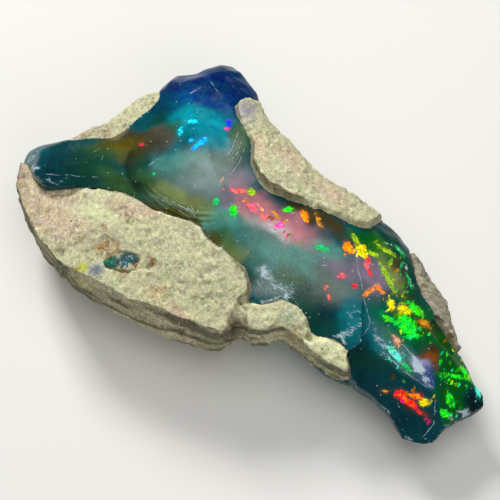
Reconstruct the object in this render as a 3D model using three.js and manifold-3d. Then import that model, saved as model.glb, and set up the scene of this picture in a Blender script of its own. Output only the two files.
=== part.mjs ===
// Rough fire opal: one irregular nodule of translucent opal with the host rock still on its
// rims. Millimetres, +Z up, lying on its broad underside, long axis along X. The origin is the
// middle of the footprint on the resting plane.
import * as THREE from 'three'
import { mergeVertices } from 'three/addons/utils/BufferGeometryUtils.js'
import Module from 'manifold-3d'

const wasm = await Module()
wasm.setup()

// ---- driving dimensions -------------------------------------------------------------------
const CLEARANCE = 0.3        // parting between the opal and each patch of rock
const EDGE_HALF = 0.4        // half thickness of the stone where its two faces meet at the rim
const RIM_BODY = 7.2         // height of the widest line along the thick end
const RIM_TAIL = 4.9         // and at the thin end
const TAIL_FROM = 5          // the rim starts to drop here
const TAIL_TO = 24
const FLOOR = -0.35          // how far the untrimmed underside dips below the resting plane
const UNDER_ROUND = 7.5      // how far in from the rim the underside keeps curving
const OPAL_ROUND = 3.2       // how far in from the rim the opal's crown keeps curving
const OPAL_BLUNT = 0.25      // blunt lip that the opal keeps at the rim
const ROCK_BLUNT = 0.8       // and the rock
const CROWN_REACH = 3.0      // smoothing reach of the opal's crown points
const CELL = 1.15            // pitch of the facets on the opal
const ROCK_CELL = 0.95       // pitch of the facets on the rock
const SPECK = [-11.2, -10.95, 10.65]       // middle of the small opal speck in the front rock
const SPECK_FACE = 10.85                   // its face, worn level
const SPECK_SIZE = [1.75, 0.85, 0.75]      // its half length, half width and half depth
const SPECK_TURN = 0.5                     // its turn about Z

// Plan outline of the whole stone, from the blunt left arm round the back to the tail.
const OUTLINE = [
  [-26.0, -4.8], [-25.8, -4.0], [-24.9, -3.1], [-23.7, -2.0], [-22.9, -1.2], [-22.4, -0.3],
  [-21.4, 1.4], [-20.5, 2.4], [-19.9, 4.0], [-18.9, 6.4], [-18.6, 7.2], [-17.7, 7.7], [-17.6, 9.0],
  [-17.3, 10.0], [-15.4, 11.6], [-14.8, 12.6], [-14.0, 13.6], [-12.7, 14.4], [-12.0, 14.3],
  [-10.9, 13.7], [-8.6, 12.5], [-7.2, 10.9], [-5.9, 10.0], [-3.9, 9.2], [-1.5, 8.3], [1.4, 7.1],
  [4.5, 6.6], [7.5, 6.2], [10.3, 5.6], [11.4, 5.3], [13.3, 4.3], [14.6, 3.4], [16.9, 2.0],
  [18.4, 1.3], [19.7, -0.3], [21.2, -1.9], [22.4, -2.9], [24.0, -4.2], [25.5, -4.9], [26.0, -5.7],
  [25.6, -6.5], [24.3, -8.1], [23.7, -9.3], [23.2, -11.2], [22.3, -11.9], [20.4, -12.2],
  [18.3, -11.0], [15.9, -10.2], [14.4, -10.2], [13.9, -9.8], [11.1, -10.0], [8.9, -9.7],
  [7.7, -9.3], [6.1, -9.1], [5.4, -9.1], [4.5, -10.1], [3.3, -10.7], [1.7, -11.3], [0.5, -12.9],
  [-0.7, -13.5], [-3.0, -13.7], [-5.4, -14.2], [-8.4, -14.4], [-10.8, -14.4], [-14.3, -14.2],
  [-16.6, -13.6], [-19.6, -12.4], [-23.2, -9.8], [-25.2, -7.9], [-25.3, -7.0],
]

// Crown of the opal as [x, y, z]: arm, hollow behind the arm, lobe, saddle, shoulder, tail.
const OPAL_CROWN = [
  [-25, -5, 11.6], [-22, -5.4, 12.8], [-19, -4.2, 13.0], [-16.8, -3.4, 12.9],
  [-23, -2, 11.6], [-20, -1, 11.6], [-15.6, 1.2, 11.2], [-16.4, 4.4, 10.6],
  [-13, -2.8, 11.2], [-10, -3.4, 11.2], [-6.4, -3.8, 11.0],
  [-14.5, 8, 11.0], [-12.4, 4.8, 12.8], [-9.6, 2.6, 13.2], [-7, 0.4, 13.0],
  [-14, 12, 9.4], [-11, 11.5, 9.8], [-9, 10, 10.6], [-7.2, 6.5, 11.4], [-5.2, 3.2, 11.8],
  [-3, -1.6, 12.5], [1.5, -2.6, 12.2], [6, -2.8, 11.8], [-1, 1.6, 11.8], [4, 1.8, 11.3],
  [1.6, -6.4, 10.6], [4.4, -5.6, 10.5], [8.5, -7.6, 9.8],
  [9.5, 3.2, 10.6], [11, 0.2, 11.1], [12.8, 3.2, 9.4], [12.5, -3, 10.8], [16, -1.2, 9.7],
  [15, -4.6, 10.3], [17.8, -4.6, 9.7], [20, -3.2, 8.2], [20.6, -7, 8.6], [23, -6, 7.4],
  [25.2, -5.4, 6.6], [22.6, -9.8, 6.8], [16, -8.5, 9.4], [20, -11, 7],
]

// Flats broken off the opal: a point on the flat, the way it faces, its half width and, where
// a straight step shows at its end, its turn.
const OPAL_FLATS = [
  { at: [-20.5, -3.2, 11.75], facing: [-0.2, 0.36, 0.9], half: 4.4 },     // back slope of the arm
  { at: [-25.0, -4.6, 9.9], facing: [-0.9, -0.15, 0.62], half: 3.5 },     // blunt end of the arm
  { at: [-19.6, -6.2, 12.1], facing: [0.08, -0.4, 0.92], half: 3.8 },     // front of the arm
  { at: [-16.9, 10.6, 8.7], facing: [-0.75, 0.35, 0.6], half: 3.0 },      // left corner of the lobe
  { at: [-10.0, 12.8, 9.0], facing: [0.35, 0.6, 0.8], half: 3.2 },        // right corner of the lobe
  { at: [-14.2, 12.8, 9.0], facing: [-0.2, 0.5, 0.87], half: 3.0 },       // back of the lobe
  { at: [11.4, 4.3, 9.2], facing: [0.3, 0.62, 0.74], half: 2.8 },         // shoulder chips
  { at: [13.0, 2.7, 9.5], facing: [0.55, 0.35, 0.8], half: 2.2 },
  { at: [18.0, -1.65, 9.9], facing: [0.12, -0.32, 1], half: 6.8, turn: 0.47 },     // bright strip
  { at: [17.4, -10.6, 6.1], facing: [0.12, -0.58, 1], half: 6.5, turn: -0.61 },    // front facet
  { at: [23.6, -7.6, 6.3], facing: [0.45, -0.1, 0.89], half: 5.0 },       // tail facet
  { at: [25.3, -7.0, 5.1], facing: [0.62, -0.62, 0.55], half: 1.8 },      // notch at the tip
  { at: [20.8, -2.9, 7.4], facing: [0.5, 0.55, 0.7], half: 3.4 },         // back of the tail
  { at: [18.6, -6.8, 1.6], facing: [0.28, -0.35, -0.9], half: 7.0 },      // flats underneath
  { at: [8.5, 3.6, 1.6], facing: [0.12, 0.6, -0.8], half: 8.0 },
  { at: [-12.6, 10.4, 2.7], facing: [0.1, 0.55, -0.83], half: 7.0 },
  { at: [-20.6, -1.0, 2.6], facing: [-0.62, 0.2, -0.76], half: 6.5 },
  { at: [11.6, -5.6, 0.9], facing: [0.1, -0.5, -0.86], half: 5.0 },
]

// Shell-shaped scars in the opal: the deepest point, the way it faces, the radius of its
// hollow, how far it is drawn out and the turn of that.
const OPAL_SCARS = [
  { at: [-13.8, -0.8, 11.3], facing: [-0.2, 0.05, 1], radius: 15, stretch: 1, turn: 0 },
  { at: [-9.6, -3.9, 10.75], facing: [-0.03, -0.3, 0.95], radius: 5, stretch: 2.6, turn: 0.03 },
  { at: [-6.7, 5.0, 11.05], facing: [0.28, 0.14, 0.96], radius: 10, stretch: 1.6, turn: -0.85 },
  { at: [9.6, -4.6, 10.45], facing: [0.05, -0.14, 1], radius: 20, stretch: 1, turn: 0 },
  { at: [3.6, -5.6, 10.25], facing: [0, -0.22, 0.97], radius: 13, stretch: 1.3, turn: -0.2 },
  { at: [-16.2, 3.2, 10.35], facing: [-0.32, 0.1, 0.95], radius: 13, stretch: 1.2, turn: 1.2 },
  { at: [-14.6, 12.6, 3.2], facing: [-0.1, 0.6, -0.8], radius: 9, stretch: 1, turn: 0 },
  { at: [2.0, 6.0, 2.0], facing: [0, 0.75, -0.65], radius: 10, stretch: 1.5, turn: 0 },
  { at: [14.5, -8.6, 2.1], facing: [0, -0.7, -0.7], radius: 8, stretch: 1.3, turn: 0 },
  { at: [-14.0, 3.4, 0.75], facing: [-0.1, 0.1, -1], radius: 14, stretch: 1.3, turn: 0.5 },
  { at: [20.3, -6.0, 2.6], facing: [0.5, 0.1, -0.85], radius: 10, stretch: 1, turn: 0 },
]

// Host rock. Each patch has its own plan, whose outer side runs past the stone's outline, its
// crown, its foot, the rounding of its outer edge and the box it is shaped in.
const ROCKS = {
  host_rock_front: {
    plan: [
      [-27.5, -5.0], [-24.9, -6.2], [-23.3, -7.4], [-21.5, -8.0], [-18.9, -6.7], [-16.7, -5.5],
      [-14.4, -4.7], [-10.8, -4.9], [-7.2, -4.3], [-6.1, -4.4], [-5.2, -5.1], [-2.6, -5.7],
      [-0.5, -6.0], [0.7, -7.1], [1.3, -8.9], [2.8, -8.5], [4.4, -7.0], [5.8, -7.0],
      [7.1, -7.6], [7.9, -8.4], [9.0, -8.6], [10.7, -8.1], [12.0, -8.5],
      [12.8, -9.4], [13.3, -10.8], [14, -13], [6, -17], [-28, -17],
    ],
    crown: [
      [-25, -7.5, 9.6], [-23, -8.5, 10.3], [-20, -9.5, 11.1], [-16, -8, 11.5], [-10, -7, 11.7],
      [-10, -12, 11.0], [-16, -13, 10.7], [-4, -8, 11.6], [-4, -12.5, 10.8], [0.3, -8, 11.3],
      [0, -12, 10.6], [2.9, -9.4, 10.8], [4, -8, 10.8], [6.2, -8.4, 10.4], [8.3, -9.5, 9.0],
      [10.5, -9, 9.7], [12.4, -9.3, 9.3],
    ],
    reach: 2.4,
    foot: (x) => -2 + 7.4 * smooth(0.5, 3.5, x),
    falls: (x) => smooth(1.0, 5.0, x),
    round: 1.3,
    box: [-27, 14.5, -15.8, -3.5],
    rough: 0.12,
  },
  host_rock_back_left: {
    plan: [
      [-22.4, -1.7], [-21.0, -0.4], [-20.1, 0.2], [-19.0, 0.8], [-18.4, 2.1], [-17.9, 4.0],
      [-17.3, 5.4], [-17.1, 6.6], [-17.7, 7.6], [-19.0, 9.0], [-24, 9], [-26, -0.6],
    ],
    crown: [[-22, 0, 9.4], [-20, 2.5, 9.6], [-18.6, 5.5, 9.5], [-17.8, 8, 9.4]],
    reach: 3,
    foot: () => 3.4,
    falls: () => 1,
    round: 1.9,
    box: [-25, -16, -2.6, 9.8],
    rough: 0.12,
  },
  host_rock_tongue: {
    plan: [
      [9.0, 8.0], [8.6, 5.2], [8.1, 4.0], [7.4, 3.6], [5.0, 3.4], [2.0, 3.1], [-0.5, 2.9],
      [-2.2, 2.8], [-3.5, 3.4], [-4.9, 4.7], [-5.7, 6.4], [-7.0, 7.5], [-8.5, 8.5],
      [-9.2, 9.4], [-8.9, 10.5], [-8.0, 10.9], [-6.3, 12.6],
    ],
    crown: [
      [-8.1, 9.7, 12.2], [-6.4, 8.3, 11.3], [-5, 6.4, 11.8], [-3, 4.4, 12.5], [0, 4.4, 12.4],
      [4, 4.4, 12.0], [7.4, 4.4, 11.4], [-3, 7.5, 10.4], [2, 6.2, 10.6], [-7.2, 10.6, 10.6],
    ],
    reach: 2.1,
    foot: () => 3.9,
    falls: () => 1,
    round: 3.0,
    box: [-10.8, 11, 2, 13.5],
    rough: 0.12,
  },
  host_rock_right_rind: {
    plan: [
      [13.0, 4.6], [14.1, 3.0], [15.2, 1.7], [16.1, 0.6], [18.0, -0.4], [20.2, -1.5],
      [21.3, -2.2], [24, -2], [20, 3.4], [13.4, 7],
    ],
    crown: [[14, 3.6, 9.0], [16.5, 1.6, 8.9], [18.8, 0, 8.6], [20.8, -2, 8.0]],
    reach: 2.6,
    foot: () => 2.9,
    falls: () => 1,
    round: 1.2,
    box: [12, 23, -4.2, 6],
    rough: 0.1,
  },
}

// Flats and pits broken out of the front rock.
const ROCK_FLATS = [
  { at: [-23.6, -8.6, 9.7], facing: [-0.45, -0.3, 0.84], half: 3.2 },     // chamfered left shoulder
  { at: [-21.0, -11.8, 6.2], facing: [-0.52, -0.8, -0.25], half: 5.0 },   // broken side, left to right
  { at: [-13.0, -14.2, 8.4], facing: [-0.05, -0.98, 0.2], half: 5.2 },
  { at: [-3.6, -13.65, 8.2], facing: [0.12, -0.97, 0.2], half: 5.0 },
  { at: [-11.0, -12.6, 3.4], facing: [-0.05, -0.8, -0.6], half: 9.0 },
  { at: [0.6, -11.4, 3.2], facing: [0.5, -0.62, -0.6], half: 4.5 },
]
const ROCK_PITS = [
  { at: [1.7, -11.0, 10.1], facing: [0, 0, 1], radius: 1.3, stretch: 1.3, turn: 1.9 },
  { at: [1.35, -9.4, 10.4], facing: [0, 0, 1], radius: 0.8, stretch: 3.2, turn: 1.5 },
  { at: [-13.4, -9.9, 10.95], facing: [0, 0, 1], radius: 0.9, stretch: 1.6, turn: 0.3 },
  { at: [-16.8, -12.8, 10.4], facing: [0, 0, 1], radius: 0.8, stretch: 1, turn: 0 },
  { at: [-8.4, -10.0, 10.95], facing: [0, 0, 1], radius: 0.8, stretch: 1.2, turn: 0.9 },
  { at: [-6.5, -14.4, 9.0], facing: [0, -1, 0.3], radius: 2.2, stretch: 1.8, turn: 0 },
  { at: [-17.0, -13.0, 6.6], facing: [-0.3, -0.9, -0.2], radius: 3.0, stretch: 1.4, turn: 0 },
]

// ---- height functions ---------------------------------------------------------------------
const clamp01 = (t) => Math.min(1, Math.max(0, t))
const smooth = (a, b, t) => THREE.MathUtils.smoothstep(t, a, b)
const roundOver = (t) => Math.sqrt(1 - (1 - clamp01(t)) ** 2)

// Smooth sheet through a set of [x, y, z] points.
function sheet(points, reach) {
  return (x, y) => {
    let sum = 0
    let weight = 1e-12
    for (const [px, py, pz] of points) {
      const w = Math.exp(-((x - px) ** 2 + (y - py) ** 2) / (reach * reach))
      sum += w * pz
      weight += w
    }
    return sum / weight
  }
}

// Distance in from a closed outline, negative outside it.
function insetOf(outline) {
  return (x, y) => {
    let best = Infinity
    let inside = false
    outline.forEach(([bx, by], i) => {
      const [ax, ay] = outline.at(i - 1)
      const along = (x - ax) * (bx - ax) + (y - ay) * (by - ay)
      const t = clamp01(along / ((bx - ax) ** 2 + (by - ay) ** 2))
      best = Math.min(best, Math.hypot(x - ax - t * (bx - ax), y - ay - t * (by - ay)))
      const crosses = (ay > y) !== (by > y)
      if (crosses && x < ((bx - ax) * (y - ay)) / (by - ay) + ax) inside = !inside
    })
    return inside ? best : -best
  }
}

// Repeatable roughness between -1 and 1.
function grit(x, y, seed) {
  const s = Math.sin(x * 12.9898 + y * 78.233 + seed * 37.719) * 43758.5453
  return 2 * (s - Math.floor(s)) - 1
}

const inset = insetOf(OUTLINE)
const rimZ = (x) => RIM_BODY - (RIM_BODY - RIM_TAIL) * smooth(TAIL_FROM, TAIL_TO, x)
const opalCrown = sheet(OPAL_CROWN, CROWN_REACH)

function opalTop(x, y) {
  const rim = rimZ(x) + EDGE_HALF
  const t = roundOver((inset(x, y) + OPAL_BLUNT) / (OPAL_ROUND + OPAL_BLUNT))
  return rim + (opalCrown(x, y) - rim) * t
}

// The underside bellies down from the rim, lifts toward the ends and carries broad lumps.
function underside(x, y) {
  const rim = rimZ(x) - EDGE_HALF
  const lift = 0.16 * Math.max(0, x - 11) + 0.22 * Math.max(0, -16 - x) + 0.18 * Math.max(0, y - 7)
  const lumps = 0.8 * Math.sin(x * 0.42 + 1.1) * Math.cos(y * 0.55 - 0.4)
  const t = roundOver((inset(x, y) + OPAL_BLUNT) / (UNDER_ROUND + OPAL_BLUNT))
  return rim - (rim - FLOOR - lift - lumps) * t
}

// ---- solids -------------------------------------------------------------------------------
function toSolid(geometry) {
  const bare = geometry.index ? geometry.toNonIndexed() : geometry.clone()
  bare.deleteAttribute('normal')
  bare.deleteAttribute('uv')
  const welded = mergeVertices(bare, 1e-4)
  return new wasm.Manifold(new wasm.Mesh({
    numProp: 3,
    vertProperties: new Float32Array(welded.attributes.position.array),
    triVerts: new Uint32Array(welded.index.array),
  }))
}

// A block whose upper and lower faces follow two height functions, facet corners jittered.
function terrain([x0, x1, y0, y1], cell, top, under, rough, seed) {
  const nx = Math.round((x1 - x0) / cell)
  const ny = Math.round((y1 - y0) / cell)
  const box = new THREE.BoxGeometry(x1 - x0, y1 - y0, 2, nx, ny, 1)
  box.translate((x0 + x1) / 2, (y0 + y1) / 2, 0)
  const at = box.attributes.position
  for (let i = 0; i < at.count; i += 1) {
    let x = at.getX(i)
    let y = at.getY(i)
    const up = at.getZ(i) > 0
    const border = Math.min(x - x0, x1 - x, y - y0, y1 - y) < 1e-4
    const key = seed + (up ? 0 : 50)
    const gx = Math.round(x * 100)
    const gy = Math.round(y * 100)
    if (!border) {
      x += 0.28 * cell * grit(gx, gy, key + 1)
      y += 0.28 * cell * grit(gx, gy, key + 2)
    }
    const z = (up ? top(x, y) : under(x, y)) + rough * grit(gx, gy, key + 3)
    at.setXYZ(i, x, y, z)
  }
  return toSolid(box)
}

// Upright prism on a plan outline.
function prism(outline, z0 = -3, height = 27) {
  const shape = new THREE.Shape(outline.map(([x, y]) => new THREE.Vector2(x, y)))
  const geometry = new THREE.ExtrudeGeometry(shape, { depth: height, bevelEnabled: false })
  geometry.translate(0, 0, z0)
  return toSolid(geometry)
}

// A plan outline, given clockwise or not, pushed out sideways by a distance.
function grown(outline, by) {
  const flat = outline.map(([x, y]) => new THREE.Vector2(x, y))
  const sign = THREE.ShapeUtils.isClockWise(flat) ? -1 : 1
  return flat.map((corner, i) => {
    const a = corner.clone().sub(flat.at(i - 1)).normalize()
    const b = flat[(i + 1) % flat.length].clone().sub(corner).normalize()
    const out = new THREE.Vector2(a.y + b.y, -a.x - b.x).normalize().multiplyScalar(sign)
    const spread = Math.max(0.5, (out.x * a.y - out.y * a.x) * sign)
    return [corner.x + (out.x * by) / spread, corner.y + (out.y * by) / spread]
  })
}

// A shape that stands on the origin, stood on a point and turned to face a direction.
function placed(geometry, at, facing) {
  const up = new THREE.Vector3(0, 0, 1)
  const toward = new THREE.Vector3(...facing).normalize()
  geometry.applyQuaternion(new THREE.Quaternion().setFromUnitVectors(up, toward))
  geometry.translate(...at)
  return toSolid(geometry)
}

// The cutter for a flat: a box whose near face lies on it.
function flatCutter({ at, facing, half, turn = 0 }) {
  const geometry = new THREE.BoxGeometry(2 * half, 2 * half, 12)
  geometry.rotateZ(turn)
  geometry.translate(0, 0, 6)
  return placed(geometry, at, facing)
}

// The cutter for a scar or pit: a ball that touches its deepest point, in facets of one size.
function scarCutter({ at, facing, radius, stretch, turn }, facet) {
  const around = Math.max(12, Math.round((2 * Math.PI * radius) / facet))
  const geometry = new THREE.SphereGeometry(radius, around, Math.round(around / 2))
  geometry.scale(stretch, 1, 1)
  geometry.rotateZ(turn)
  geometry.translate(0, 0, radius)
  return placed(geometry, at, facing)
}

// The small speck: an egg shape round its middle.
function speckSolid(spread, lift) {
  const geometry = new THREE.SphereGeometry(1, 14, 10)
  geometry.scale(...SPECK_SIZE.map((half) => half + spread))
  geometry.rotateZ(SPECK_TURN)
  geometry.translate(SPECK[0], SPECK[1], SPECK[2] + lift)
  return toSolid(geometry)
}

// The largest body of a solid, without the crumbs that a cut leaves along a thin edge.
function largest(solid) {
  return solid.decompose().reduce((a, b) => (a.volume() > b.volume() ? a : b))
}

const below = flatCutter({ at: [0, 0, 0], facing: [0, 0, -1], half: 40 })
const trim = prism(OUTLINE)

// One patch of rock; with a spread above zero, the room that it needs in the opal.
function rockSolid(rock, spread = 0) {
  const crown = sheet(rock.crown, rock.reach)
  const top = (x, y) => {
    const rim = rimZ(x) + EDGE_HALF
    const t = roundOver((inset(x, y) + ROCK_BLUNT) / (rock.round + ROCK_BLUNT))
    return rim + (crown(x, y) - rim) * (1 - rock.falls(x) * (1 - t)) + (spread ? 9 : 0)
  }
  const under = (x, y) => {
    const foot = Math.max(underside(x, y), rock.foot(x)) - spread
    return Math.min(foot, top(x, y) - 2 * EDGE_HALF)
  }
  const block = terrain(rock.box, ROCK_CELL, top, under, spread ? 0 : rock.rough, 7)
  return block.intersect(prism(spread ? grown(rock.plan, spread) : rock.plan))
}

// ---- the pieces ---------------------------------------------------------------------------
let opal = terrain([-27, 27, -15.5, 16], CELL, opalTop, underside, 0.06, 3).intersect(trim)
for (const flat of OPAL_FLATS) opal = opal.subtract(flatCutter(flat))
for (const scar of OPAL_SCARS) opal = opal.subtract(scarCutter(scar, 1.25))
for (const rock of Object.values(ROCKS)) opal = opal.subtract(rockSolid(rock, CLEARANCE))

const solids = { opal: largest(opal.subtract(below)) }
for (const [name, rock] of Object.entries(ROCKS)) {
  solids[name] = largest(rockSolid(rock).intersect(trim).subtract(below))
}

let front = solids.host_rock_front
for (const flat of ROCK_FLATS) front = front.subtract(flatCutter(flat))
for (const pit of ROCK_PITS) front = front.subtract(scarCutter(pit, 0.7))
front = front.subtract(speckSolid(CLEARANCE, 0)).subtract(speckSolid(CLEARANCE, 0.6))
solids.host_rock_front = largest(front)
const worn = flatCutter({ at: [SPECK[0], SPECK[1], SPECK_FACE], facing: [0, 0, 1], half: 4 })
solids.opal_speck = speckSolid(0, 0).subtract(worn)

const LOOKS = {
  opal: new THREE.MeshStandardMaterial({ color: '#1f5f60', roughness: 0.22, metalness: 0 }),
  rock: new THREE.MeshStandardMaterial({ color: '#c4bd97', roughness: 0.9, metalness: 0 }),
}

const group = new THREE.Group()
for (const [name, solid] of Object.entries(solids)) {
  const mesh = solid.getMesh()
  const geometry = new THREE.BufferGeometry()
  geometry.setAttribute('position', new THREE.BufferAttribute(mesh.vertProperties, 3))
  geometry.setIndex(new THREE.BufferAttribute(mesh.triVerts, 1))
  geometry.computeVertexNormals()
  const piece = new THREE.Mesh(geometry, name.startsWith('opal') ? LOOKS.opal : LOOKS.rock)
  piece.name = name
  group.add(piece)
}

export default group
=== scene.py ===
"""Rough fire opal: a broken nodule of translucent opal, with the pale host rock still on its
rims, lying on its underside on a plain floor."""

import math
from collections import namedtuple
from functools import partial

import bmesh
import bpy
import numpy as np
from mathutils import Matrix, Vector
from mathutils.bvhtree import BVHTree


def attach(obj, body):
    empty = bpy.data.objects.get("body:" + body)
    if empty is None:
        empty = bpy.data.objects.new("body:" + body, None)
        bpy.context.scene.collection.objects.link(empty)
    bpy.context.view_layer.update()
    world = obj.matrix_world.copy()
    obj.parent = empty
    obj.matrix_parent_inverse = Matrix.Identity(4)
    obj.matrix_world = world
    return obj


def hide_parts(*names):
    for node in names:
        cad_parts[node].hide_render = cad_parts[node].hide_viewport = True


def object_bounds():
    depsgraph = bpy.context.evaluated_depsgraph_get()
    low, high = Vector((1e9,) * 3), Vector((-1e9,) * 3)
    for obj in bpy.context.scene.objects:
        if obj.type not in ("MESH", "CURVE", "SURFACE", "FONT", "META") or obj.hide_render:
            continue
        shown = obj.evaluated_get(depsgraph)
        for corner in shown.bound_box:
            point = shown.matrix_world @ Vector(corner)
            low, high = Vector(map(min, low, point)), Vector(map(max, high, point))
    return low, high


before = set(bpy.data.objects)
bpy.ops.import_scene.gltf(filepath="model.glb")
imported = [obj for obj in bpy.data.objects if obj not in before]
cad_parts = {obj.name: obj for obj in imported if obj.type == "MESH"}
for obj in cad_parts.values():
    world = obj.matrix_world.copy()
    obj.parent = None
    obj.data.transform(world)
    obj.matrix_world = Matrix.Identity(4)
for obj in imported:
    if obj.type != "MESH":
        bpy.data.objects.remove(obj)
CAD_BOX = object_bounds()

bl_info = {
    "name": "Rough Fire Opal",
    "version": (1, 0, 0),
    "blender": (4, 5, 0),
    "location": "View3D > Sidebar > Rough Opal",
    "description": "Builds a rough fire opal with its host rock on the packed frame",
    "category": "Object",
}

MM = 0.001
BODY = "root"
OPAL_NODES = ("opal", "opal_speck")
# Each patch of host rock: its slot, and the painted shade that darkens its broken sides.
ROCK_NODES = {
    "host_rock_front": ("rock", 1.0),
    "host_rock_back_left": ("rock", 0.4),
    "host_rock_tongue": ("rock", 0.3),
    "host_rock_right_rind": ("rind", 0.5),
}

# The stone's palette as sRGB: the tones of the body first, then the fire.
HUES = {
    "ink": "#04121e", "navy": "#04235e", "sapphire": "#0a3f86", "ocean": "#063a52",
    "petrol": "#0b343c", "teal": "#1a6068", "lagoon": "#048a9c", "turquoise": "#0c6670",
    "sea": "#4f8c80", "fog": "#7c918b", "dusk": "#5f6a60", "mauve": "#76697c",
    "lavender": "#a9a6cc", "rose": "#bb7880", "russet": "#4e4434", "rust": "#3e3210",
    "bottle": "#0f3a2a", "moss": "#34552a", "olive": "#7d8a4e", "bronze": "#4c4812",
    "honey": "#60520e", "tan": "#86724a", "leaf": "#045c0a", "jade": "#0f6a48",
    "ember": "#8a4c18", "cyan": "#18d2de", "azure": "#10a6f8", "violet": "#2812f4",
    "ruby": "#d8203c", "coral": "#f05a5a", "peach": "#d8906c", "pink": "#f0409c",
    "flame": "#ff2c0c", "orange": "#ff8c0a", "amber": "#c07a16", "yellow": "#e0d00c",
    "lime": "#94b814", "green": "#18d80c", "emerald": "#16b85c", "mint": "#4ae4c4",
}
# Flashes strewn over the sides and underside: least x and half width in mm, length over width,
# turn in degrees, and hues.
HIDDEN_FIRE_SEED = 4
HIDDEN_FIRE_COUNT = 70
HIDDEN_FIRE_LEAST_X = -19
HIDDEN_FIRE_HALF = (0.15, 0.5)
HIDDEN_FIRE_SLENDER = (1.5, 3.0)
HIDDEN_FIRE_TURN = (0, 60)
HIDDEN_FIRE = ("green", "emerald", "azure", "lime", "emerald", "sapphire", "amber", "mint")

# Broken flats of the tail: a point of each one's plane and its least x, in mm, and the way it
# faces.
FLATS = {
    "strip": ((18.0, -1.65, 9.9), 12.3, (0.12, -0.32, 1.0)),
    "front": ((17.4, -10.6, 6.1), 12.0, (0.12, -0.58, 1.0)),
    "tail": ((23.6, -7.6, 6.3), 20.5, (0.45, -0.10, 0.89)),
}
# How far from its plane a flat is whole and where it is gone, and how softly it ends at its
# least x, in mm.
FLAT_NEAR = (0.10, 0.20)
FLAT_SOFT = 0.1

# A patch on the broad face: middle x and y, half length and half width in mm, turn of its
# length from +x in degrees, its hue in the palette or its strength, and the flat that it stops
# at the edges of: "crown" is what lies off all three.
Patch = namedtuple("Patch", "x y length width turn hue on", defaults=("", ""))


def patches(*rows):
    """Patches, from rows of their values."""
    return tuple(Patch(*row) for row in rows)


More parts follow.
